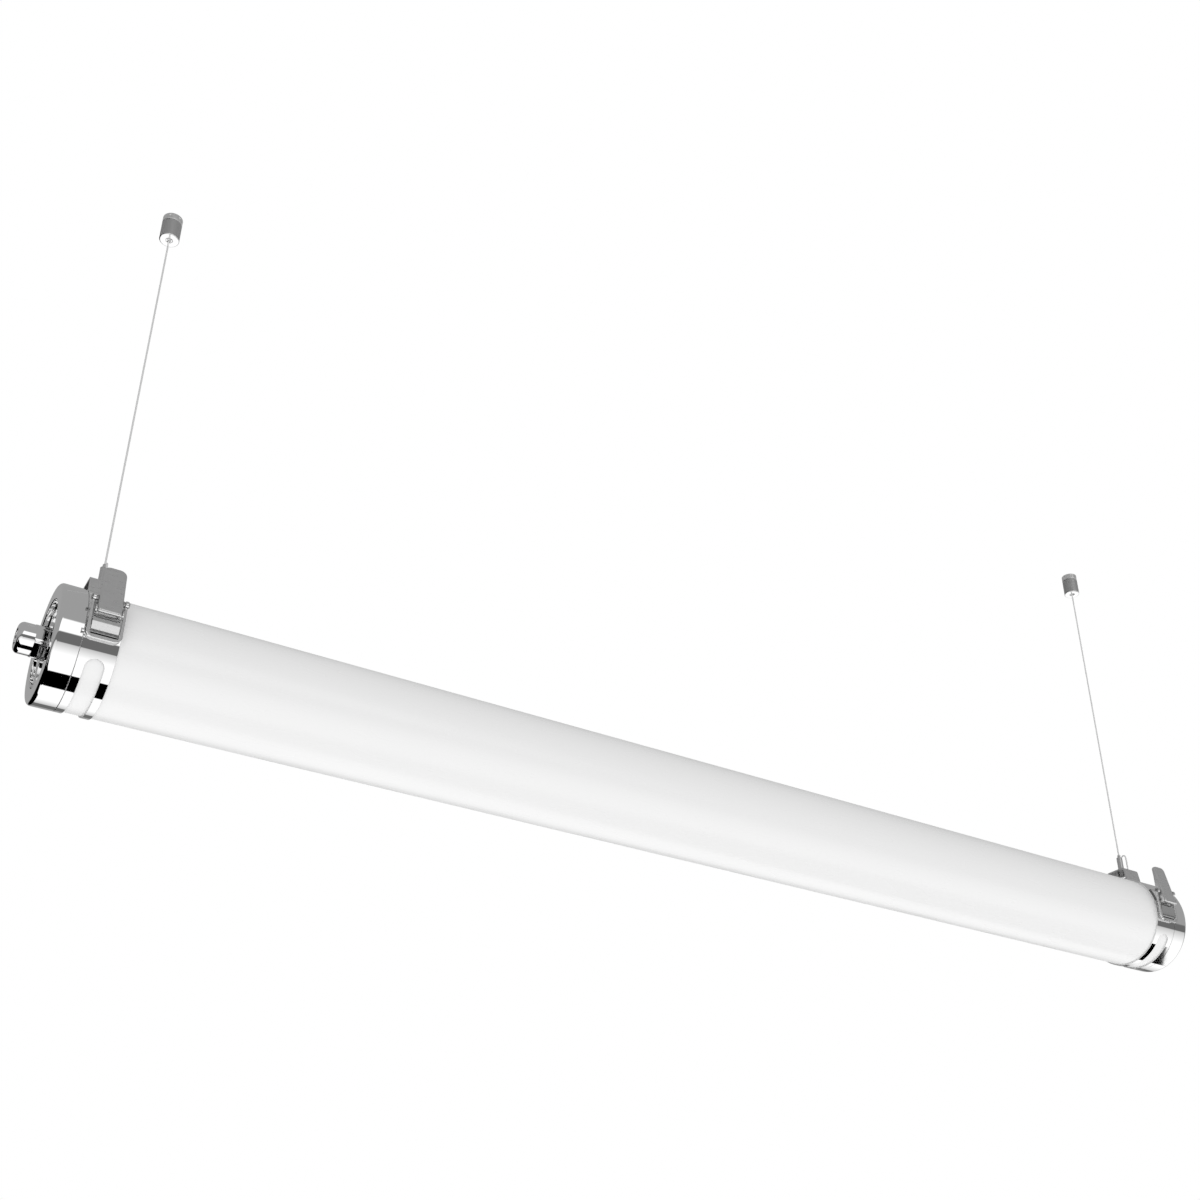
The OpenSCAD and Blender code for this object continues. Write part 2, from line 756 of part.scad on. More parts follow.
module terminal_block() {
    size = terminal_size;
    color("white") translate([terminal_x - size[0]/2, -size[1]/2, plate_top + face_gap - drop])
        difference() {
            cube(size);
            for (y = [size[1]*0.2, size[1]*0.5, size[1]*0.8]) {
                translate([size[0]*0.3, y, size[2] - 5]) cylinder(r = 2, h = 6, $fn = 24);
                translate([size[0]*0.7, y, size[2] - 5]) cylinder(r = 2, h = 6, $fn = 24);
                translate([-1, y, size[2]/2]) rotate([0, 90, 0])
                    cylinder(r = 1.7, h = size[0]*0.25, $fn = 24);
            }
            for (y = [-3, 3])
                translate([size[0], size[1]/2 + y, size[2]/2]) rotate([0, 90, 0])
                    cylinder(r = lead_d/2 + 0.05, h = 10, center = true, $fn = 24);
        }
}

// A ring that closes the plug's inner end and carries the end of the carrier
module carrier_bracket() {
    color("dimgray") translate([body_len/2 - plug_end, 0, -drop]) difference() {
        union() {
            translate([-bracket_t, 0, 0]) rotate([0, 90, 0])
                cylinder(r = plug_r - 0.2, h = bracket_t - face_gap, $fn = 96);
            for (y = [-shelf_y, shelf_y])
                translate([-bracket_t - shelf_len, y - 6, carrier_z - shelf_t - face_gap])
                    cube([shelf_len + 1, 12, shelf_t]);
        }
        translate([-bracket_t - 1, 0, -8]) rotate([0, 90, 0]) cylinder(r = 9, h = 10);
        translate([-bracket_t - 1, 0, 20]) rotate([0, 90, 0]) cylinder(r = 11, h = 10);
        for (y = [-1, 1])
            translate([-bracket_t - 1, y*bracket_screw_y(), bracket_screw_z()])
                rotate([0, 90, 0]) cylinder(r = 1.6, h = 10, $fn = 24);
        for (y = [-shelf_y, shelf_y])
            translate([-bracket_t - shelf_len/2, y, 0]) cylinder(r = 1.25, h = 10, $fn = 24);
    }
}

module small_screw(shank) {
    cylinder(r = 2.1, h = 1.6, $fn = 24);
    translate([0, 0, -shank]) cylinder(r = 1.2, h = shank + 0.5, $fn = 24);
}

module bracket_screws() {
    color("silver") for (side = [-1, 1], y = [-1, 1])
        translate([side*(body_len/2 - plug_end - bracket_t - face_gap),
            y*bracket_screw_y(), bracket_screw_z() - drop])
            rotate([0, -side*90, 0]) small_screw(7);
}

module shelf_screws() {
    color("silver") for (side = [-1, 1], y = [-shelf_y, shelf_y])
        translate([side*shelf_screw_x(), y, plate_top + face_gap - drop]) small_screw(4.5);
}

// Bent leads, given as points in x and z, one on each side of the middle
module lead_pair(route, spread) {
    for (side = [-1, 1])
        swept([for (p = route) [p[0], side*spread, p[1] - drop]], lead_d/2, [0, 1, 0]);
}

module supply_leads() {
    lead_z = plate_top + face_gap + terminal_size[2]/2;
    x0 = terminal_x + terminal_size[0]/2 - 4;
    x1 = driver_x + 3;
    z1 = plate_top + face_gap + driver_h/2;
    color("saddlebrown") lead_pair([[x0, lead_z], [x0 + 12, lead_z], [(x0 + x1)/2, (lead_z + z1)/2],
        [x1 - 12, z1], [x1, z1]], 3);
}

module board_leads() {
    x0 = driver_x + driver_len - 3;
    z0 = plate_top + face_gap + driver_h/2;
    xh = lead_hole_x();
    z1 = carrier_z - board_t;
    color("saddlebrown") lead_pair([[x0, z0], [x0 + 8, z0], [xh - 3, z0 - 2], [xh - 0.6, z0 - 6],
        [xh, z0 - 12], [xh, z1]], 1.2);
}

diffuser_tube();
left_end_cap();
right_cap_place() end_cap();  // right_end_cap
left_cap_place() cap_seals();  // left_cap_seals
right_cap_place() cap_seals();  // right_cap_seals
left_end() clamp_band();  // left_clamp_band
right_end() clamp_band();  // right_clamp_band
left_end() hanger_bridge();  // left_hanger_bridge
right_end() hanger_bridge();  // right_hanger_bridge
left_end() latch_yoke();  // left_latch_yoke
right_end() latch_yoke();  // right_latch_yoke
left_end() yoke_rivets();  // left_yoke_rivets
right_end() yoke_rivets();  // right_yoke_rivets
left_end() latch_hook();  // left_latch_hook
right_end() latch_hook();  // right_latch_hook
left_end() latch_lever();  // left_latch_lever
right_end() latch_lever();  // right_latch_lever
left_end() lever_pin();  // left_lever_pin
right_end() lever_pin();  // right_lever_pin
left_end() latch_bail();  // left_latch_bail
right_end() latch_bail();  // right_latch_bail
left_end() bail_pin();  // left_bail_pin
right_end() bail_pin();  // right_bail_pin
left_end() gripper_body();  // left_gripper_body
right_end() gripper_body();  // right_gripper_body
left_end() gripper_nut();  // left_gripper_nut
right_end() gripper_nut();  // right_gripper_nut
left_end() gripper_plunger();  // left_gripper_plunger
right_end() gripper_plunger();  // right_gripper_plunger
left_end() suspension_wire();  // left_suspension_wire
right_end() suspension_wire();  // right_suspension_wire
left_end() wire_tail();  // left_wire_tail
right_end() wire_tail();  // right_wire_tail
left_end() wire_ball();  // left_wire_ball
right_end() wire_ball();  // right_wire_ball
left_end() ceiling_base();  // left_ceiling_base
right_end() ceiling_base();  // right_ceiling_base
left_end() ceiling_barrel();  // left_ceiling_barrel
right_end() ceiling_barrel();  // right_ceiling_barrel
gland_body();
gland_nut();
gland_seal();
gland_gasket();
gland_locknut();
led_carrier();
circuit_boards();
leds();
led_driver();
terminal_block();
mirror([1, 0, 0]) carrier_bracket();  // left_carrier_bracket
carrier_bracket();  // right_carrier_bracket
bracket_screws();
shelf_screws();
supply_leads();
board_leads();
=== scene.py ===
import json
import math

import bmesh
import bpy
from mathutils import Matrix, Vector


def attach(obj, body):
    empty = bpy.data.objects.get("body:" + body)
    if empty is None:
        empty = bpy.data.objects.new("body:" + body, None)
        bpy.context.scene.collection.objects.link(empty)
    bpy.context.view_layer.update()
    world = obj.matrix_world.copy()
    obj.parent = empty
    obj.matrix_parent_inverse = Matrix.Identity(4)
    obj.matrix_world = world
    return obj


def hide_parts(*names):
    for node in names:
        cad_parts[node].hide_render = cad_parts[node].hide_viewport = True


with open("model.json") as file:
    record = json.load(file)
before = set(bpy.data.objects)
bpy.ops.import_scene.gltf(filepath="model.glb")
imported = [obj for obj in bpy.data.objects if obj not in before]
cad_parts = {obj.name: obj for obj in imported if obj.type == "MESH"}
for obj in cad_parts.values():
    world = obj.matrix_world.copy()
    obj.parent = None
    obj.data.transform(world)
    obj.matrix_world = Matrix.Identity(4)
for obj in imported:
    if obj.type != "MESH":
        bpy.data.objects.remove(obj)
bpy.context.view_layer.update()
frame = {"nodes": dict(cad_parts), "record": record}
scene = bpy.context.scene

MM = 0.001
SIDES = ("left", "right")
WAY = {"left": -1, "right": 1}

# Height of the tube's axis, in metres
AXIS_Z = -0.442

# Sizes and places in mm that several pieces share
HANG_X = 555.5
CAP_X = 587.5
CAP_FLOOR = 8
BAND_R = 46.3
SHEET = 1.2
# What sits on the band is drawn from just above it
SEAT_R = 46.35
# Narrowest radius of a closed end, so that its middle stays round
POINT_R = 0.001


def hinge_at(joint_name):
    """Where a hinge along X passes through the end view: y, and z from the tube's axis, in mm."""
    for joint in frame["record"]["behaviour"]["joints"]:
        if joint["name"] == joint_name:
            _, y, z = joint["pos_m"]
            return y/MM, (z - AXIS_Z)/MM
    raise KeyError(joint_name)


LEVER_HINGE = hinge_at("left_lever_hinge")
BAIL_HINGE = hinge_at("left_bail_hinge")


def add(name, data):
    obj = bpy.data.objects.new(name, data)
    scene.collection.objects.link(obj)
    return obj


def make_camera():
    yaw, pitch = math.radians(31.684), math.radians(29.634)
    forward = Vector((math.sin(yaw)*math.cos(pitch), math.cos(yaw)*math.cos(pitch), math.sin(pitch)))
    data = bpy.data.cameras.new("camera")
    data.lens = 45.165
    data.sensor_width = 36.0
    data.shift_x = -0.00747
    data.shift_y = 0.04764
    data.clip_end = 50.0
    obj = add("camera", data)
    obj.location = (-0.7345, -1.0223, -0.9924)
    obj.rotation_euler = forward.to_track_quat("-Z", "Y").to_euler()
    scene.camera = obj


# Materials

def shader(mat):
    return mat.node_tree.nodes["Principled BSDF"]


def plain(name, color, metallic, rough, coat=0.0):
    mat = bpy.data.materials.new(name)
    mat.use_nodes = True
    bsdf = shader(mat)
    bsdf.inputs["Base Color"].default_value = (*color, 1.0)
    bsdf.inputs["Metallic"].default_value = metallic
    bsdf.inputs["Roughness"].default_value = rough
    bsdf.inputs["Coat Weight"].default_value = coat
    return mat


def relief_from_noise(mat, scale, strength, distance, stretch=(1, 1, 1)):
    """Fine relief in object space, stretched along the axes. Returns the noise."""
    nodes, links = mat.node_tree.nodes, mat.node_tree.links
    coord = nodes.new("ShaderNodeTexCoord")
    mapping = nodes.new("ShaderNodeMapping")
    mapping.inputs["Scale"].default_value = stretch
    noise = nodes.new("ShaderNodeTexNoise")
    noise.inputs["Scale"].default_value = scale
    noise.inputs["Detail"].default_value = 3.0
    bump = nodes.new("ShaderNodeBump")
    bump.inputs["Strength"].default_value = strength
    bump.inputs["Distance"].default_value = distance
    links.new(coord.outputs["Object"], mapping.inputs["Vector"])
    links.new(mapping.outputs["Vector"], noise.inputs["Vector"])
    links.new(noise.outputs["Fac"], bump.inputs["Height"])
    links.new(bump.outputs["Normal"], shader(mat).inputs["Normal"])
    return noise


# The middle part of a noise, where most of its values lie
NOISE_LOW, NOISE_HIGH = 0.3, 0.7


def rough_from(mat, noise, low, high):
    ramp = mat.node_tree.nodes.new("ShaderNodeMapRange")
    ramp.inputs["From Min"].default_value = NOISE_LOW
    ramp.inputs["From Max"].default_value = NOISE_HIGH
    ramp.inputs["To Min"].default_value = low
    ramp.inputs["To Max"].default_value = high
    mat.node_tree.links.new(noise.outputs["Fac"], ramp.inputs["Value"])
    mat.node_tree.links.new(ramp.outputs["Result"], shader(mat).inputs["Roughness"])


def grey_from(mat, noise, dark, light):
    ramp = mat.node_tree.nodes.new("ShaderNodeValToRGB")
    for stop, position, value in zip(ramp.color_ramp.elements, (NOISE_LOW, NOISE_HIGH), (dark, light)):
        stop.position = position
        stop.color = (value, value, value, 1.0)
    mat.node_tree.links.new(noise.outputs["Fac"], ramp.inputs["Fac"])
    mat.node_tree.links.new(ramp.outputs["Color"], shader(mat).inputs["Base Color"])


def textured(name, color, metallic, rough, relief, coat=0.0, tones=None):
    """A material with relief (scale, strength, distance, stretch); rough is its range of roughness."""
    mat = plain(name, color, metallic, sum(rough)/2, coat)
    noise = relief_from_noise(mat, *relief)
    rough_from(mat, noise, *rough)
    if tones:
        grey_from(mat, noise, *tones)
    return mat


def metal(name, level, rough, relief, tones=None):
    return textured(name, (level, level, level), 1.0, rough, relief, tones=tones)


def make_materials():
    along_tube = (0.2, 1, 1)
    drawn = (0.05, 1, 1)
    brushed = (0.15, 1, 1)
    extruded = (0.03, 1, 1)
    upright = (1, 1, 0.1)
    return {
        "tube": textured("opal_tube", (0.90, 0.90, 0.90), 0.0, (0.24, 0.32),
                         (60.0, 0.04, 0.0004, along_tube)),
        "chrome": metal("polished_metal", 0.90, (0.015, 0.03), (90.0, 0.02, 0.0002, drawn)),
        "satin": metal("satin_steel", 0.73, (0.26, 0.36), (900.0, 0.04, 0.00005, brushed), (0.715, 0.745)),
        "bright": metal("bright_steel", 0.80, (0.09, 0.15), (600.0, 0.03, 0.00005)),
        "hook": metal("hook_steel", 0.64, (0.12, 0.2), (600.0, 0.05, 0.00005)),
        # Painted shade for the mouth of the hook: a near-black metal
        "mouth_painted_shade": metal("hook_mouth_painted_shade", 0.03, (0.26, 0.34), (600.0, 0.05, 0.00005)),
        "pin": metal("pin_steel", 0.36, (0.18, 0.28), (700.0, 0.06, 0.00005)),
        "wire": plain("wire_steel", (0.92, 0.92, 0.92), 0.6, 0.35),
        "grip": metal("gripper_steel", 0.70, (0.26, 0.36), (700.0, 0.08, 0.00005)),
        "ceiling_light": metal("ceiling_base_metal", 0.88, (0.26, 0.36), (500.0, 0.08, 0.00005, upright)),
        "ceiling": metal("ceiling_metal", 0.56, (0.46, 0.56), (500.0, 0.10, 0.00005, upright)),
        "rubber": textured("seal_rubber", (0.018, 0.018, 0.018), 0.0, (0.6, 0.8), (600.0, 0.2, 0.0001)),
        "aluminium": textured("mill_aluminium", (0.78, 0.78, 0.79), 1.0, (0.3, 0.42),
                              (300.0, 0.15, 0.0001, extruded)),
        "bracket": textured("dark_bracket", (0.03, 0.03, 0.032), 0.0, (0.5, 0.62), (500.0, 0.15, 0.0001)),
        "board": textured("white_mask", (0.85, 0.85, 0.83), 0.0, (0.3, 0.4), (400.0, 0.05, 0.0001), coat=0.2),
        "diode": textured("phosphor", (0.86, 0.62, 0.10), 0.0, (0.25, 0.35), (900.0, 0.05, 0.0001)),
        "driver": textured("driver_case", (0.80, 0.80, 0.80), 0.0, (0.35, 0.48), (300.0, 0.06, 0.0001)),
        "terminal": textured("terminal_plastic", (0.85, 0.85, 0.85), 0.0, (0.45, 0.55),
                             (400.0, 0.06, 0.0001)),
        "lead": textured("lead_jacket", (0.18, 0.06, 0.02), 0.0, (0.3, 0.4), (600.0, 0.06, 0.0001)),
    }


M = make_materials()
SLOT_LOOK = {
    "tube": "tube", "polished_metal": "chrome", "satin_steel": "satin", "pins": "pin", "wire": "wire",
    "ceiling_metal": "ceiling", "seal": "rubber", "extrusion": "aluminium", "bracket": "bracket",
    "board": "board", "diode": "diode", "driver": "driver", "terminal": "terminal", "lead": "lead",
}


def dress_cad_nodes():
    """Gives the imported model's own pieces the look of their material slot."""
    for part in frame["record"]["subparts"]:
        obj = frame["nodes"][part["node"]]
        mat = M[SLOT_LOOK[part["material_slot"]]]
        if not obj.material_slots:
            obj.data.materials.append(mat)
        for material_slot in obj.material_slots:
            material_slot.material = mat


# Shapes

def rounded(points, radii, steps=4):
    """A closed outline with its corners rounded; radii is one number or one for each corner."""
    count = len(points)
    out = []
    for i, p in enumerate(points):
        r = radii if isinstance(radii, (int, float)) else radii[i]
        p = Vector(p)
        u = Vector(points[i - 1]) - p
        v = Vector(points[(i + 1) % count]) - p
        lu, lv = u.length, v.length
        u.normalize()
        v.normalize()
        turn = u.angle(v)
        nearly_straight = turn > math.pi - 0.01
        if r <= 0 or nearly_straight:
            out.append(tuple(p))
            continue
        # A corner takes less than half of each line that meets there
        d = min(r/math.tan(turn/2), 0.48*lu, 0.48*lv)
        r = d*math.tan(turn/2)
        centre = p + (u + v).normalized()*(r/math.sin(turn/2))
        a = p + u*d - centre
        b = p + v*d - centre
        sweep = a.angle_signed(b)
        for k in range(steps + 1):
            t = -sweep*k/steps
            c, s = math.cos(t), math.sin(t)
            out.append((centre.x + a.x*c - a.y*s, centre.y + a.x*s + a.y*c))
    return out


def quarter(steps, first=0):
    """Angles from 0 to 90 degrees, from step first on."""
    return [math.pi/2*i/steps for i in range(first, steps + 1)]


def round_angles(segments):
    return [2*math.pi*k/segments for k in range(segments)]


def finish_mesh(name, bm, mat, sharp, weighted=True):
    bmesh.ops.remove_doubles(bm, verts=bm.verts, dist=1e-7)
    bmesh.ops.recalc_face_normals(bm, faces=bm.faces)
    mesh = bpy.data.meshes.new(name)
    bm.to_mesh(mesh)
    bm.free()
    mesh.shade_smooth()
    mesh.set_sharp_from_angle(angle=math.radians(sharp))
    mesh.materials.append(mat)
    obj = add(name, mesh)
    if weighted:
        modifier = obj.modifiers.new("normals", "WEIGHTED_NORMAL")
        modifier.keep_sharp = True
        modifier.weight = 80
    return obj


def make_sheet(obj, edge_width, segments, angle, even=False):
    """Gives a surface the clamp's sheet thickness, inwards, and breaks its edges."""
    solid = obj.modifiers.new("sheet", "SOLIDIFY")
    solid.thickness = SHEET*MM
    solid.offset = -1.0
    solid.use_even_offset = even
    edge = obj.modifiers.new("edge", "BEVEL")
    edge.width = edge_width*MM
    edge.segments = segments
    edge.limit_method = "ANGLE"
    edge.angle_limit = math.radians(angle)
    edge.harden_normals = True


def loft(bm, rings, closed=False, wrap=True):
    """Skins rings of points; wrap joins each ring's end to its start, closed the last ring to the first."""
    rows = [[bm.verts.new(p) for p in ring] for ring in rings]
    pairs = list(zip(rows, rows[1:]))
    if closed:
        pairs.append((rows[-1], rows[0]))
    n = len(rows[0])
    for a, b in pairs:
        for k in range(n if wrap else n - 1):
            j = (k + 1) % n
            bm.faces.new((a[k], a[j], b[j], b[k]))
    return rows


def capped_loft(bm, rings):
    rows = loft(bm, rings)
    bm.faces.new(rows[0])
    bm.faces.new(list(reversed(rows[-1])))


def lathe(bm, profile, place, segments):
    """Turns a closed outline of (radius, height) round; place(radius, angle, height) gives the point."""
    # Points near the ends of the long lines keep their shading straight
    long_line, hold = 1.0, 0.15
    held = []
    for (r0, h0), (r1, h1) in zip(profile, profile[1:] + profile[:1]):
        held.append((r0, h0))
        length = math.hypot(r1 - r0, h1 - h0)
        if length > long_line:
            for t in (hold/length, 1 - hold/length):
                held.append((r0 + (r1 - r0)*t, h0 + (h1 - h0)*t))
    loft(bm, [[place(r, a, h) for r, h in held] for a in round_angles(segments)], closed=True)


def prism(bm, outline, low, high, place, bevel, segments=2):
    """Pushes a closed outline from low to high; place(u, v, w) gives the point. Rims are bevelled."""
    a = [bm.verts.new(place(u, v, low)) for u, v in outline]
    b = [bm.verts.new(place(u, v, high)) for u, v in outline]
    n = len(outline)
    ends = (bm.faces.new(a), bm.faces.new(b))
    for k in range(n):
        j = (k + 1) % n
        bm.faces.new((a[k], a[j], b[j], b[k]))
    edges = [edge for face in ends for edge in face.edges]
    bmesh.ops.bevel(bm, geom=edges, offset=bevel*MM, segments=segments, profile=0.5,
                    affect="EDGES", clamp_overlap=True)


def hull(points):
    """Convex outline round the given points."""
    pts = sorted(set(points))

    def half(seq):
        out = []
        for p in seq:
            while len(out) > 1 and ((out[-1][0] - out[-2][0])*(p[1] - out[-2][1])
                                    - (out[-1][1] - out[-2][1])*(p[0] - out[-2][0])) <= 0:
                out.pop()
            out.append(p)
        return out

    low, high = half(pts), half(reversed(pts))
    return low[:-1] + high[:-1]


# Places. Sizes in mm go in, and points in metres come out

def along_x(x0, way):
    """Placer for lathe: the axis runs along X from x0, with way the sign of the height."""
    return lambda r, a, h: ((x0 + way*h)*MM, -r*math.sin(a)*MM, r*math.cos(a)*MM + AXIS_Z)


def along_z(x0, base):
    """Placer for lathe: the axis stands at x0, and heights are from base, which is in metres."""
    return lambda r, a, h: ((x0 + r*math.cos(a))*MM, r*math.sin(a)*MM, h*MM + base)


def at_end(side):
    """Placer of a clamp piece as seen at the left end, and of its mirror image at the right end."""
    way = WAY[side]
    return lambda x, y, z: ((way*HANG_X - way*x)*MM, y*MM, z*MM + AXIS_Z)


def polar(r, phi):
    """Point of the end view at an angle from the top, towards the latch: y and z."""
    return (-r*math.sin(phi), r*math.cos(phi))


def on_arc(r, y):
    """Height of a circle about the tube's axis at y."""
    return math.sqrt(r*r - y*y)


def hex_ring(place, half_flats, corner_r, height, steps):
    """Ring of a hexagonal bar whose corners are turned down to corner_r."""
    ring = []
    for a in round_angles(steps):
        flat = half_flats/math.cos((a % (math.pi/3)) - math.pi/6)
        ring.append(place(min(flat, corner_r), a, height))
    return ring


def hex_sleeve(bm, place, half_flats, corners, bore, steps):
    """Hexagon bar with turned ends, bored through; corners are (height, corner radius)."""
    rows = [hex_ring(place, half_flats, corner_r, height, steps) for height, corner_r in corners]
    for height in (corners[-1][0], corners[0][0]):
        rows.append([place(bore, a, height) for a in round_angles(steps)])
    loft(bm, rows, closed=True)


def put(obj, body, slot, *nodes):
    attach(obj, body)
    if nodes:
        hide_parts(*nodes)
    return obj


# Tube and end caps

def make_tube():
    bore, outer, half = 42.5, 45, 575.2
    bm = bmesh.new()
    profile = rounded([(bore, -half), (outer, -half), (outer, half), (bore, half)], 0.3)
    lathe(bm, profile, along_x(0, 1), 256)
    put(finish_mesh("opal_tube", bm, M["tube"], 30, False), "pendant", "tube", "diffuser_tube")


def make_caps():
    """Turned caps, as (radius, depth from the end): stepped recess, rim and plug with two seal grooves."""
    face, back = CAP_FLOOR, 12
    seat_r, plug_r, groove_r, plug_bore = 45.15, 42.2, 40.4, 38
    groove_width = 2.6
    shape = [(31, face), (31, 4), (34, 4), (34, 0), (BAND_R, 0), (BAND_R, 18.6), (seat_r, 18.6),
             (seat_r, back), (plug_r, back)]
    for near in (22.7, 29.7):
        far = near + groove_width
        shape += [(plug_r, near), (groove_r, near), (groove_r, far), (plug_r, far)]
    shape += [(plug_r, 40), (plug_bore, 40), (plug_bore, back)]
    radii = [0.6, 0.5, 0.4, 0.7, 3.0, 0.25, 0.2, 0, 0.2] + [0.15]*8 + [0.5, 0.3, 0.6]
    # Only the left cap has a hole for the gland
    for side, hole_r, hole_edge in (("left", 10.05, 0.3), ("right", 0.01, 0)):
        points = [(hole_r, face)] + shape + [(hole_r, back)]
        profile = rounded(points, [hole_edge] + radii + [hole_edge], 5)
        bm = bmesh.new()
        lathe(bm, profile, along_x(WAY[side]*CAP_X, -WAY[side]), 224)
        obj = finish_mesh(f"{side}_cap", bm, M["chrome"], 50, False)
        put(obj, "pendant", "polished_metal", f"{side}_end_cap")


# Clamp band: a strip bent round the tube, with one long window, and a locating tab over the seam

BAND_START, BAND_END = math.radians(83.5), math.radians(360 + 78)
WINDOW_HALF = 7.0
WINDOW_ROUND = math.asin(WINDOW_HALF/BAND_R)
WINDOW_START = math.radians(120) + WINDOW_ROUND
WINDOW_END = math.radians(240) - WINDOW_ROUND


def half_window(phi):
    """Half the window's width at an angle from the top."""
    if WINDOW_START <= phi <= WINDOW_END:
        return WINDOW_HALF
    s = (WINDOW_START - phi if phi < WINDOW_START else phi - WINDOW_END)*BAND_R
    return math.sqrt(max(WINDOW_HALF*WINDOW_HALF - s*s, 0.0))


def band_angles():
    """Even steps round the band, with finer ones at the round ends of the window."""
    angles = {BAND_START, BAND_END}
    k = BAND_START
    while k < BAND_END:
        angles.add(k)
        k += math.radians(1.5)
    for centre, sign in ((WINDOW_START, -1), (WINDOW_END, 1)):
        for t in quarter(12):
            angles.add(centre + sign*WINDOW_ROUND*math.sin(t))
    thin = []
    for a in sorted(angles):
        if not thin or a - thin[-1] > 1e-4:
            thin.append(a)
    return thin


def make_band(side):
    place = at_end(side)
    columns, half = 6, 13.0
    bm = bmesh.new()
    for sign in (-1, 1):
        grid = []
        for phi in band_angles():
            inner = half_window(phi)
            across = [sign*(inner + (half - inner)*c/columns) for c in range(columns + 1)]
            grid.append([place(x, *polar(BAND_R, phi)) for x in across])
        loft(bm, grid, wrap=False)
    bmesh.ops.remove_doubles(bm, verts=bm.verts, dist=1e-6)
    obj = finish_mesh(f"{side}_band", bm, M["chrome"], 60, False)
    make_sheet(obj, 0.22, 2, 50)
    put(obj, "pendant", "polished_metal", f"{side}_clamp_band")


def make_band_tab(side):
    place = at_end(side)
    start, sweep, steps = 96, 5, 8
    outer, inner, under = -15.6, -11.0, 46.1
    bm = bmesh.new()
    rows = []
    for i in range(steps + 1):
        phi = math.radians(start + sweep*i/steps)
        swell = math.sin(math.pi*i/steps)
        section = [(outer, 46.35), (-15.4, 46.6 + 0.25*swell), (-14.6, 46.65 + 0.35*swell),
                   (-13.0, 46.7 + 0.4*swell), (-11.8, 46.55 + 0.3*swell), (inner, 46.2),
                   (inner, under), (outer, under)]
        rows.append([place(x, *polar(r, phi)) for x, r in section])
    capped_loft(bm, rows)
    put(finish_mesh(f"{side}_band_tab", bm, M["chrome"], 60, False), "pendant", "polished_metal")


# Latch. The lever is drawn in its own frame: y and z from the hinge pin, before it is tilted.
# Its section is a U: a web on the outside and a flange at each side that points to the tube

LEVER_TILT = math.radians(11.3)
LEVER_HALF = 8.8
LEVER_WEB = -3.9
LEVER_TOP = 38.7
LEVER_BEND = 1.7
LEVER_CORNER = 4.0
FLANGE_R = 3.9


def flange_edge(z):
    """Depth of the flange's free edge at height z above the hinge pin."""
    table = [(0.0, FLANGE_R), (11.1, 2.8), (18.1, 1.7), (28.7, -0.5), (LEVER_TOP, -1.9)]
    for (z0, y0), (z1, y1) in zip(table, table[1:]):
        if z <= z1:
            return y0 + (y1 - y0)*(z - z0)/(z1 - z0)
    return table[-1][1]


def lever_width(z):
    """Half the lever's width at height z, with its top corners rounded."""
    above = z - LEVER_TOP + LEVER_CORNER
    if above <= 0:
        return LEVER_HALF
    return LEVER_HALF - LEVER_CORNER + math.sqrt(max(LEVER_CORNER*LEVER_CORNER - above**2, 0.0))


def bend_row(w, y, z, ny, nz):
    """The round bend from flange to web at half width w; (ny, nz) points inwards from the web."""
    row = []
    for t in quarter(7):
        off = LEVER_BEND - LEVER_BEND*math.sin(t)
        row.append((w - LEVER_BEND + LEVER_BEND*math.cos(t), y + ny*off, z + nz*off))
    return row


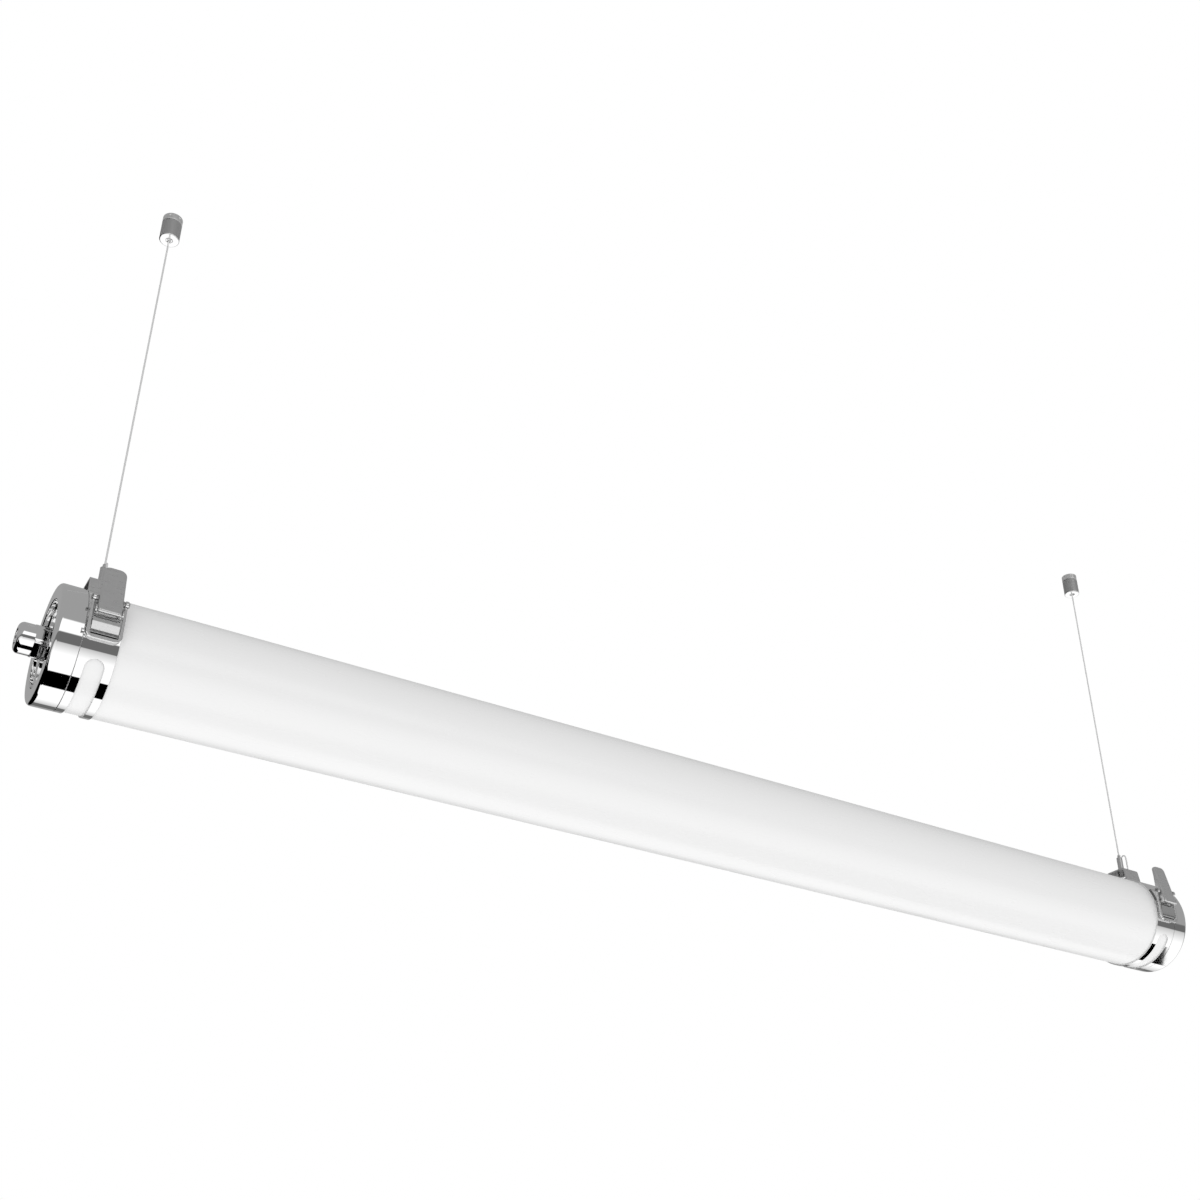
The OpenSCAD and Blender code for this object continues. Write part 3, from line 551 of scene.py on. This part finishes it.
def make_lever(side):
    place = at_end(side)
    hinge_y, hinge_z = LEVER_HINGE

    def at(x, y, z):
        return place(x, hinge_y + y*math.cos(LEVER_TILT) + z*math.sin(LEVER_TILT),
                     hinge_z - y*math.sin(LEVER_TILT) + z*math.cos(LEVER_TILT))

    # Rows from the foot, which curls under the hinge pin, up to the top
    foot_r, foot_steps, flange_steps = 2.3, 9, 5
    centre = LEVER_WEB + foot_r
    half_rows = []
    for a in quarter(foot_steps):
        s, c = math.sin(a), math.cos(a)
        half_rows.append(bend_row(LEVER_HALF, centre - foot_r*s, centre - foot_r*c, s, c))
    heights = [0, 3, 6, 9, 11.1, 14, 18.1, 22, 26, 28.7, 31, 33]
    heights += [LEVER_TOP - LEVER_CORNER + LEVER_CORNER*math.sin(t) for t in quarter(9)]
    for z in heights:
        w = lever_width(z)
        free = flange_edge(z)
        depth = LEVER_WEB + LEVER_BEND - free
        flange = [(w, free + depth*c/flange_steps, z) for c in range(flange_steps)]
        half_rows.append(flange + bend_row(w, LEVER_WEB, z, 1.0, 0.0))

    bm = bmesh.new()
    rows = []
    for half_row in half_rows:
        plus = [bm.verts.new(at(x, y, z)) for x, y, z in half_row]
        minus = [bm.verts.new(at(-x, y, z)) for x, y, z in half_row]
        rows.append((plus, minus))
    for (pa, ma), (pb, mb) in zip(rows, rows[1:]):
        for k in range(1, min(len(pa), len(pb))):
            bm.faces.new((pa[-k - 1], pa[-k], pb[-k], pb[-k - 1]))
            bm.faces.new((ma[-k], ma[-k - 1], mb[-k - 1], mb[-k]))
        bm.faces.new((pa[-1], ma[-1], mb[-1], pb[-1]))
    # Lower half of each flange, round the hinge pin to the edge of the curled foot
    first_flat = foot_steps + 1
    curl_y, curl_z = -0.9, -3.8
    for index, sign in ((0, 1), (1, -1)):
        foot = [row[index][0] for row in rows[:first_flat]]
        straight = rows[first_flat][index][:flange_steps + 1]
        nose = []
        for a in quarter(10, 1)[:-1]:
            nose.append(bm.verts.new(at(sign*LEVER_HALF, FLANGE_R*math.cos(a), -FLANGE_R*math.sin(a))))
        corner = bm.verts.new(at(sign*LEVER_HALF, curl_y, curl_z))
        bm.faces.new(straight + list(reversed(foot)) + [corner] + list(reversed(nose)))
    obj = finish_mesh(f"{side}_lever", bm, M["satin"], 50, False)
    make_sheet(obj, 0.2, 3, 55, even=True)
    put(obj, f"{side}_lever", "satin_steel", f"{side}_latch_lever")


def round_bar(bm, place, centre, x0, x1, r, chamfer, hole=0.0, segments=40):
    """A short bar along X from x0 to x1, with rounded rims and an optional hole."""
    y, z = centre
    low, high = min(x0, x1), max(x0, x1)
    hole = max(hole, POINT_R)
    profile = rounded([(hole, low), (r, low), (r, high), (hole, high)], [0, chamfer, chamfer, 0], 3)
    lathe(bm, profile, lambda rr, a, h: place(h, y - rr*math.sin(a), z + rr*math.cos(a)), segments)


def make_lever_pin(side):
    half = 10.15
    bm = bmesh.new()
    round_bar(bm, at_end(side), LEVER_HINGE, -half, half, 1.5, 0.35)
    put(finish_mesh(f"{side}_hinge_pin", bm, M["pin"], 50), "pendant", "pins", f"{side}_lever_pin")


def make_bail_pin(side):
    """Shank, a shoulder between lever and bail, and a drilled head at each end."""
    place = at_end(side)
    y, z = BAIL_HINGE
    shank, shoulder, head, drilled = 1.5, 2.0, 2.2, 0.8
    points = [(POINT_R, 0), (shank, 0), (shank, 8.9), (shoulder, 8.9), (shoulder, 10.3), (shank, 10.3),
              (shank, 12.85), (head, 12.85), (head, 13.5), (drilled, 13.5), (drilled, 11.5), (POINT_R, 11.5)]
    profile = rounded(points, [0, 0, 0, 0.15, 0.15, 0, 0, 0.1, 0.25, 0.2, 0.1, 0], 3)
    bm = bmesh.new()
    for sign in (-1, 1):
        lathe(bm, profile, lambda r, a, h: place(sign*h, y - r*math.sin(a), z + r*math.cos(a)), 40)
    put(finish_mesh(f"{side}_bail_hinge_pin", bm, M["pin"], 50), f"{side}_lever", "pins", f"{side}_bail_pin")


def make_bail(side):
    """Flat frame, open at the top, with an eye round the pin at the end of each arm."""
    place = at_end(side)
    out, opening, top, foot, inner_foot = 12.8, 10.4, 19.0, -11.9, -9.5
    outer = [(out, top), (out, foot), (-out, foot), (-out, top)]
    inner = [(-opening, top), (-opening, inner_foot), (opening, inner_foot), (opening, top)]
    outline = rounded(outer + inner, [0, 5.5, 5.5, 0, 0, 1.3, 1.3, 0], 10)
    bm = bmesh.new()
    for sign in (-1, 1):
        round_bar(bm, place, BAIL_HINGE, sign*opening, sign*out, 3.0, 0.4, 1.55, 48)
    # The bevelled frame comes last, which keeps the order of the faces the same in each run
    prism(bm, outline, -50.3, -48.5, lambda u, v, w: place(u, w, v), 0.85, 5)
    put(finish_mesh(f"{side}_bail", bm, M["bright"], 50), f"{side}_bail", "satin_steel", f"{side}_latch_bail")


def make_hook(side):
    """Hook on the lower end of the band, whose rolled face leans in towards its mouth."""
    place = at_end(side)
    half, foot = 9.8, -8.5
    # How far the hook stands off the band, and the height
    points = [(-0.6, 7.2), (0.9, 7.2), (2.4, 6.4), (4.0, 4.6), (4.0, 1.0), (3.65, -2.5), (3.1, -5.5),
              (2.4, -7.2), (0.9, foot), (0.6, foot)]
    radii = [0, 0.7, 1.5, 1.4, 12.0, 12.0, 8.0, 0.5, 0.3, 0.15]
    outline = rounded([(-(BAND_R + off), z) for off, z in points] + [(-BAND_R, foot)], radii + [0], 5)
    outline = outline[1:-1]
    back_height, steps = 15.6, 6
    for i in range(steps + 1):
        z = foot + back_height*i/steps
        outline.append((-on_arc(SEAT_R, z), z))
    bm = bmesh.new()
    prism(bm, outline, -half, half, lambda u, v, w: place(w, u, v), 0.5, 3)
    obj = finish_mesh(f"{side}_hook", bm, M["hook"], 50)
    put(obj, "pendant", "polished_metal", f"{side}_latch_hook")
    # The mouth of the hook lies in its own shade, which is painted: its faces that look down and in get a
    # near-black material
    obj.data.materials.append(M["mouth_painted_shade"])
    smallest, lean = 5*MM*MM, -0.4
    for face in obj.data.polygons:
        if face.normal.z < lean and face.normal.y < lean and face.area > smallest:
            face.material_index = 1


def make_yoke(side):
    """Plate on the band with an ear at each side for the lever's hinge pin."""
    place = at_end(side)
    half, top_r, inner = 10.1, 47.55, 8.9
    start, end, steps = math.radians(58), math.radians(76), 12
    section = rounded([(-half, SEAT_R), (half, SEAT_R), (half, top_r), (-half, top_r)], 0.2, 2)
    bm = bmesh.new()
    rows = []
    for i in range(steps + 1):
        phi = start + (end - start)*i/steps
        rows.append([place(x, *polar(r, phi)) for x, r in section])
    capped_loft(bm, rows)
    # Ear outline: the plate's edge and the round end about the hinge pin
    low_r, high_r, ear_r = 46.4, 47.5, 3.5
    points = [polar(low_r, start), polar(high_r, start), polar(high_r, end), polar(low_r, end)]
    points.append(polar(low_r, (start + end)/2))
    hinge_y, hinge_z = LEVER_HINGE
    points += [(hinge_y + ear_r*math.cos(a), hinge_z + ear_r*math.sin(a)) for a in round_angles(36)]
    for sign in (-1, 1):
        prism(bm, hull(points), sign*inner, sign*half, lambda u, v, w: place(w, u, v), 0.2)
    put(finish_mesh(f"{side}_yoke", bm, M["satin"], 50), "pendant", "satin_steel", f"{side}_latch_yoke")


def make_rivets(side):
    place = at_end(side)
    phi = math.radians(63)
    out = Vector((0, *polar(1, phi)))
    up = Vector((0, math.cos(phi), math.sin(phi)))
    spread, head_r, head_low, head_rise = 4.5, 2.2, 47.8, 0.7
    profile = [(POINT_R, 46.4), (1.4, 46.4), (1.4, 47.6), (head_r, 47.6), (head_r, head_low)]
    profile += [(max(head_r*math.cos(t), POINT_R), head_low + head_rise*math.sin(t)) for t in quarter(6, 1)]
    bm = bmesh.new()
    for x in (-spread, spread):
        def at(r, a, h):
            p = out*h + up*(r*math.sin(a))
            return place(x + r*math.cos(a), p.y, p.z)

        lathe(bm, profile, at, 32)
    put(finish_mesh(f"{side}_rivets", bm, M["pin"], 50), "pendant", "pins", f"{side}_yoke_rivets")


# Hanger: bridge, wire gripper and ceiling fitting

BRIDGE_TOP = 59.0
HEX_R = 4.0
HEX_HALF_FLATS = HEX_R*math.cos(math.pi/6)
# Centre of the wire's ball, from the ceiling
SWING_Z = -20.5


def make_bridge(side):
    """Inverted U across the band, with leaning walls and a foot at each side."""
    place = at_end(side)
    t, leg, head, half = 1.5, 14.0, 11.8, 10.7
    foot = SEAT_R
    lean = (leg - head)/(BRIDGE_TOP - on_arc(foot, leg))
    wall = t/math.cos(math.atan(lean))
    crease = leg - wall - 0.2
    right = [(y, on_arc(foot, y)) for y in (8.0, 10.0, 12.0, leg)] + [(head, BRIDGE_TOP)]
    inner = [(head - wall + lean*t, BRIDGE_TOP - t)]
    inner += [(y, on_arc(foot + t, y)) for y in (crease, 10.2, 8.0)]
    points = right + [(-y, z) for y, z in reversed(right)]
    points += [(-y, z) for y, z in reversed(inner)] + inner
    right_radii, inner_radii = [0, 0, 0, 1.4, 2.6], [1.1, 0.6, 0, 0]
    radii = right_radii + right_radii[::-1] + inner_radii[::-1] + inner_radii
    bm = bmesh.new()
    prism(bm, rounded(points, radii, 6), -half, half, lambda u, v, w: place(w, u, v), 0.25)
    put(finish_mesh(f"{side}_bridge", bm, M["satin"], 50), "pendant", "satin_steel", f"{side}_hanger_bridge")


def make_gripper(side):
    """Barrel with a hexagon, standing on the bridge, and its stud that goes through the bridge."""
    place = along_z(WAY[side]*HANG_X, AXIS_Z)
    wire_hole, stud_r, barrel_r, bore = 0.95, 2.0, 3.0, 1.66
    stud_end, barrel_top, bore_end = 53.5, 76.0, 69.5
    points = [(wire_hole, 61.5), (POINT_R, 61.4), (POINT_R, stud_end), (stud_r, stud_end),
              (stud_r, BRIDGE_TOP), (barrel_r, BRIDGE_TOP), (barrel_r, 63.0), (barrel_r, barrel_top),
              (bore, barrel_top), (bore, bore_end), (wire_hole, bore_end)]
    bm = bmesh.new()
    lathe(bm, rounded(points, [0, 0, 0, 0.3, 0, 0, 0, 0.45, 0.2, 0, 0], 4), place, 64)
    corners = [(BRIDGE_TOP, 3.7), (59.35, HEX_R), (62.6, HEX_R), (63.0, 3.6)]
    capped_loft(bm, [hex_ring(place, HEX_HALF_FLATS, corner_r, z, 72) for z, corner_r in corners])
    put(finish_mesh(f"{side}_gripper", bm, M["grip"], 40), "pendant", "satin_steel", f"{side}_gripper_body")


def make_gripper_nut(side):
    place = along_z(WAY[side]*HANG_X, AXIS_Z)
    corners = [(54.25, 3.75), (54.5, HEX_R), (57.2, HEX_R), (57.45, 3.75)]
    bm = bmesh.new()
    hex_sleeve(bm, place, HEX_HALF_FLATS, corners, 2.05, 72)
    put(finish_mesh(f"{side}_stud_nut", bm, M["pin"], 40), "pendant", "pins", f"{side}_gripper_nut")


def make_nipple(side):
    place = along_z(WAY[side]*HANG_X, AXIS_Z)
    hole, r, low, high = 0.95, 1.6, 72.0, 79.0
    profile = rounded([(hole, low), (r, low), (r, high), (hole, high)], [0, 0.1, 0.45, 0.15], 4)
    bm = bmesh.new()
    lathe(bm, profile, place, 48)
    obj = finish_mesh(f"{side}_nipple", bm, M["grip"], 50)
    put(obj, f"{side}_plunger", "pins", f"{side}_gripper_plunger")


def make_ceiling_base(side):
    """Base plate with six grip notches, and its threaded stub."""
    place = along_z(WAY[side]*HANG_X, 0.0)
    screw_hole, stub_bore, stub_r, plate_r, plate_low, stub_low = 2.25, 4.8, 6.0, 8.5, -6.5, -14.0
    points = [(stub_bore, -4.0), (screw_hole, -3.8), (screw_hole, 0.0), (plate_r, 0.0), (plate_r, plate_low),
              (stub_r, plate_low), (stub_r, stub_low), (stub_bore, stub_low)]
    profile = rounded(points, [0, 0.2, 0.3, 0.35, 0.45, 0.2, 0.4, 0.2], 4)
    notch_low, notch_high, notch_half, notch_depth, step = -4.9, -1.6, 0.7, 0.65, 0.05

    def notched(r, a, h):
        if r > plate_r - 0.5 and notch_low < h < notch_high:
            away = abs((a + math.pi/6) % (math.pi/3) - math.pi/6)*plate_r
            if away < notch_half:
                r -= notch_depth*math.sqrt(1 - (away/notch_half)**2)
        return place(r, a, h)

    # The plate's wall gets a row just inside and just outside each end of the notches
    fine = []
    for p, q in zip(profile, profile[1:] + profile[:1]):
        fine.append(p)
        if min(p[0], q[0]) > plate_r - 0.1 and abs(p[1] - q[1]) > 3:
            for h in (notch_high + step, notch_high - step, notch_low + step, notch_low - step):
                fine.append((plate_r, h))
    bm = bmesh.new()
    lathe(bm, fine, notched, 360)
    obj = finish_mesh(f"{side}_base", bm, M["ceiling_light"], 40, False)
    put(obj, "ceiling_bases", "ceiling_metal", f"{side}_ceiling_base")


def make_ceiling_barrel(side):
    """Barrel that screws on the base, with a round seat for the wire's ball and a polished lower face."""
    x0 = WAY[side]*HANG_X
    seat_r, bore, barrel_r, low, mouth_r = 2.7, 6.1, 8.5, -25.0, 2.9
    seat = []
    for i in range(9):
        t = math.radians(45.2*i/8)
        seat.append((seat_r*math.cos(t), SWING_Z - seat_r*math.sin(t)))
    points = [(bore, -7.2), (6.3, -6.9), (barrel_r, -6.9), (barrel_r, low), (mouth_r, low)]
    profile = [(bore, -6.95)] + rounded(points, [0, 0, 0.5, 0.9, 0.4], 5) + [(1.93, -22.5)]
    profile += list(reversed(seat)) + [(seat_r, -16.0), (bore, -16.0)]
    bm = bmesh.new()
    lathe(bm, profile, along_z(x0, 0.0), 128)
    obj = finish_mesh(f"{side}_barrel", bm, M["ceiling"], 40, False)
    obj.data.materials.append(M["chrome"])
    for face in obj.data.polygons:
        reach = math.hypot(face.center.x - x0*MM, face.center.y)
        underside = face.center.z < -24.5*MM and face.normal.z < -0.6
        throat = face.center.z < -22.4*MM and reach < 3.5*MM
        if underside or throat:
            face.material_index = 1
    put(obj, f"{side}_barrel", "ceiling_metal", f"{side}_ceiling_barrel")


def make_wire_ball(side):
    ball_r, neck_r, neck_low = 2.6, 1.2, -24.0
    profile = [(POINT_R, SWING_Z + ball_r)]
    for i in range(1, 17):
        t = math.pi*i/18
        profile.append((ball_r*math.sin(t), SWING_Z + ball_r*math.cos(t)))
    profile += [(neck_r, -22.9), (neck_r, -23.7), (1.0, neck_low), (POINT_R, neck_low)]
    bm = bmesh.new()
    lathe(bm, profile, along_z(WAY[side]*HANG_X, 0.0), 48)
    put(finish_mesh(f"{side}_ball", bm, M["wire"], 50), "pendant", "wire", f"{side}_wire_ball")


# Cable gland. Heights are outwards from the floor of the left cap's recess

GLAND_PLACE = along_x(CAP_FLOOR - CAP_X, -1)
GLAND_HALF_FLATS = 12.0


def gland_hexagon(bm, corner_r, low, high, bore, chamfer):
    slope = chamfer*0.58
    turned_r = corner_r - chamfer
    corners = [(low, turned_r), (low + slope, corner_r), (high - slope, corner_r), (high, turned_r)]
    hex_sleeve(bm, GLAND_PLACE, GLAND_HALF_FLATS, corners, bore, 144)


def make_gland_body():
    thread_r, throat, sleeve_r, sleeve_bore, tip = 10.0, 7.0, 9.0, 7.5, 14.0
    bm = bmesh.new()
    gland_hexagon(bm, 13.6, 0.55, 5.5, 9.9, 0.8)
    points = [(throat, -10.0), (thread_r, -10.0), (thread_r, 0.5), (thread_r, 5.4), (sleeve_r, 5.5),
              (sleeve_r, tip), (sleeve_bore, tip), (sleeve_bore, 5.0), (throat, 5.0)]
    lathe(bm, rounded(points, [0.3, 0.6, 0, 0, 0, 0.5, 0.2, 0, 0.2], 4), GLAND_PLACE, 128)
    put(finish_mesh("gland_base", bm, M["chrome"], 35, False), "pendant", "polished_metal", "gland_body")


def make_gland_nut():
    bore, collar_r, dome_r, dome_low, low = 9.06, 11.8, 4.0, 23.3, 5.8
    bm = bmesh.new()
    gland_hexagon(bm, 13.65, low, 15.475, 11.6, 0.9)
    dome = [(bore, low), (collar_r, low), (collar_r, 15.4), (collar_r, dome_low)]
    for t in quarter(10, 1):
        dome.append((collar_r - dome_r + dome_r*math.cos(t), dome_low + dome_r*math.sin(t)))
    dome += [(6.5, 27.3), (6.25, 27.05), (6.2, 25.3), (bore, 25.2)]
    lathe(bm, dome, GLAND_PLACE, 160)
    put(finish_mesh("gland_dome_nut", bm, M["chrome"], 35, False), "gland_nut", "polished_metal", "gland_nut")


def rubber_ring(name, node, inner_r, outer_r, low, high, edges, steps):
    bm = bmesh.new()
    profile = rounded([(inner_r, low), (outer_r, low), (outer_r, high), (inner_r, high)], edges, steps)
    lathe(bm, profile, GLAND_PLACE, 96)
    put(finish_mesh(name, bm, M["rubber"], 50, False), "pendant", "seal", node)


# Cords: the two suspension wires, each with its spare end

WIRE_R = 0.75
# Foot of the taut wire, from the tube's axis, and its head, from the ceiling
WIRE_FOOT, WIRE_HEAD = 74, -24
# How the spare end bows out of the gripper and down: y, and z from the bridge's top, in mm
TAIL_ROUTE = [
    (-3.6, 16.35), (-4.2, 17), (-5, 17.4), (-6, 17.5), (-7, 17.2), (-7.8, 16.5),
    (-8.3, 15.5), (-8.5, 14.7), (-8.7, 11.5), (-8.7, 8), (-8.7, 4), (-8.7, 0), (-8.7, -3), (-8.7, -6),
]


def curve_piece(name, points, radius, mat):
    data = bpy.data.curves.new(name, "CURVE")
    data.dimensions = "3D"
    data.bevel_depth = radius
    data.bevel_resolution = 4
    data.use_fill_caps = True
    spline = data.splines.new("POLY")
    spline.points.add(len(points) - 1)
    for target, p in zip(spline.points, points):
        target.co = (*p, 1.0)
    spline.use_smooth = True
    data.materials.append(mat)
    return add(name, data)


def make_wire(side):
    x = WAY[side]*HANG_X*MM
    bottom = AXIS_Z + WIRE_FOOT*MM
    top = WIRE_HEAD*MM
    steps = 16
    route = [(x, 0, bottom + (top - bottom)*i/steps) for i in range(steps + 1)]
    spare = [(x, y*MM, AXIS_Z + (BRIDGE_TOP + z)*MM) for y, z in TAIL_ROUTE]
    wire = curve_piece(f"{side}_wire", route, WIRE_R*MM, M["wire"])
    tail = curve_piece(f"{side}_wire_end", spare, WIRE_R*MM, M["wire"])
    for piece, cad in ((wire, "suspension_wire"), (tail, "wire_tail")):
        put(piece, "pendant", "wire", f"{side}_{cad}")


# Surroundings

# Brightness of the room that metal reflects, and of the even one that pale surfaces gather
WHITE, SHADED, GREY, DARK, BLACK = 1.15, 0.60, 0.36, 0.155, 0.0
ROOM_LOW, ROOM_HIGH = 1.04, 0.74


class RoomMath:
    """Short names for the world's maths nodes. A value is a number or another node's output."""

    def __init__(self, tree):
        self.tree = tree

    def feed(self, socket, value):
        if isinstance(value, (int, float)):
            socket.default_value = value
        else:
            self.tree.links.new(value, socket)

    def math(self, operation, *values, clamp=False):
        n = self.tree.nodes.new("ShaderNodeMath")
        n.operation = operation
        n.use_clamp = clamp
        for socket, value in zip(n.inputs, values):
            self.feed(socket, value)
        return n.outputs[0]

    def mixed(self, factor, low, high):
        n = self.tree.nodes.new("ShaderNodeMix")
        n.data_type = "FLOAT"
        n.clamp_factor = True
        for socket, value in ((n.inputs[0], factor), (n.inputs[2], low), (n.inputs[3], high)):
            self.feed(socket, value)
        return n.outputs[0]

    def line(self, value, slope, start):
        return self.math("ADD", self.math("MULTIPLY", value, slope), start)

    def both(self, *factors):
        product = factors[0]
        for factor in factors[1:]:
            product = self.math("MULTIPLY", product, factor)
        return product

    def above(self, value, edge, soft=0.02):
        """0 below the edge, 1 above it, and soft wide between them."""
        past = self.math("DIVIDE", self.math("SUBTRACT", value, edge), soft)
        return self.math("ADD", past, 0.5, clamp=True)

    def below(self, value, edge, soft=0.02):
        return self.math("SUBTRACT", 1.0, self.above(value, edge, soft))


def reflected_room(room, x, y, z):
    """The room as the polished metal shows it: x, y and z are the direction that is looked in."""
    side = room.math("ABSOLUTE", x)
    # Dark horizon, which gets thinner towards the ends of the room
    horizon_low = room.line(side, 0.228, -0.338)
    horizon_high = room.line(side, 0.0226, 0.020)
    # Grey ceiling and walls, with a white panel behind the viewer
    upper = room.mixed(room.below(y, -0.89), GREY, WHITE)
    # White room below the lamp, shaded just under the horizon
    under_horizon = room.math("SUBTRACT", z, horizon_low)
    lower = room.mixed(room.above(under_horizon, -0.15, 0.3), WHITE, SHADED)
    # Black strip along the floor, which widens towards the ends and stops short of the right one
    depth = room.math("MAXIMUM", room.math("MULTIPLY", z, -1.0), 0.02)
    across = room.math("DIVIDE", y, depth)
    along = room.math("SUBTRACT", room.math("DIVIDE", side, depth), 0.15)
    strip_low = room.line(along, -0.16, -0.31)
    strip_high = room.line(along, 0.33, 0.28)
    strip = room.both(room.above(across, strip_low), room.below(across, strip_high),
                      room.math("LESS_THAN", z, -0.25), room.math("LESS_THAN", x, 0.7583))
    lower = room.mixed(strip, lower, BLACK)
    level = room.mixed(room.above(z, horizon_low), lower, DARK)
    level = room.mixed(room.above(z, horizon_high, 0.04), level, upper)
    # Black doorway at the back, on the left
    door = room.both(room.above(y, 0.25), room.below(z, 0.22, 0.04),
                     room.math("LESS_THAN", x, 0.0), room.math("GREATER_THAN", z, -0.75))
    return room.mixed(door, level, BLACK)


def make_world():
    """White for the camera, a room with contrast for reflections, and an even one for the rest."""
    world = bpy.data.worlds.new("studio")
    scene.world = world
    world.use_nodes = True
    world.cycles.sampling_method = "NONE"
    tree = world.node_tree
    tree.nodes.clear()
    nodes, links = tree.nodes, tree.links
    room = RoomMath(tree)
    path = nodes.new("ShaderNodeLightPath")
    coord = nodes.new("ShaderNodeTexCoord")
    split = nodes.new("ShaderNodeSeparateXYZ")
    links.new(coord.outputs["Generated"], split.inputs["Vector"])
    x, y, z = split.outputs
    # The even room is a little dimmer above
    even = room.mixed(room.above(z, 0.1, 0.9), ROOM_LOW, ROOM_HIGH)
    level = room.mixed(path.outputs["Is Glossy Ray"], even, reflected_room(room, x, y, z))
    gray = nodes.new("ShaderNodeCombineColor")
    for socket in gray.inputs[:3]:
        links.new(level, socket)
    background = nodes.new("ShaderNodeBackground")
    background.inputs["Strength"].default_value = 1.0
    links.new(gray.outputs[0], background.inputs["Color"])
    white = nodes.new("ShaderNodeBackground")
    white.inputs["Color"].default_value = (1, 1, 1, 1)
    mix = nodes.new("ShaderNodeMixShader")
    links.new(path.outputs["Is Camera Ray"], mix.inputs["Fac"])
    links.new(background.outputs[0], mix.inputs[1])
    links.new(white.outputs[0], mix.inputs[2])
    out = nodes.new("ShaderNodeOutputWorld")
    links.new(mix.outputs[0], out.inputs["Surface"])


def make_floor():
    """Pale disc well below the lamp, kept out of reflections and of the light on the object."""
    radius, height = 2.2, -2.4
    bm = bmesh.new()
    bmesh.ops.create_circle(bm, cap_ends=True, segments=96, radius=radius)
    mesh = bpy.data.meshes.new("floor")
    bm.to_mesh(mesh)
    bm.free()
    obj = add("floor", mesh)
    obj.location = (0, 0, height)
    mesh.materials.append(plain("floor", (0.94, 0.94, 0.94), 0.0, 0.8))
    obj.visible_glossy = False
    obj.visible_diffuse = False


# The scene

dress_cad_nodes()
make_tube()
make_caps()
for end in SIDES:
    make_band(end)
    make_band_tab(end)
    make_lever(end)
    make_lever_pin(end)
    make_bail_pin(end)
    make_bail(end)
    make_hook(end)
    make_yoke(end)
    make_rivets(end)
    make_bridge(end)
    make_gripper(end)
    make_gripper_nut(end)
    make_nipple(end)
    make_ceiling_base(end)
    make_ceiling_barrel(end)
    make_wire_ball(end)
    make_wire(end)
make_gland_body()
make_gland_nut()
rubber_ring("gland_seal_ring", "gland_seal", 4.5, 7.45, 5.05, 23.9, [0.4, 0.3, 0.5, 0.6], 4)
rubber_ring("gland_washer", "gland_gasket", 10.05, 11.6, 0.0, 0.5, 0.12, 3)
make_world()
make_floor()
make_camera()
scene.view_settings.view_transform = "Standard"
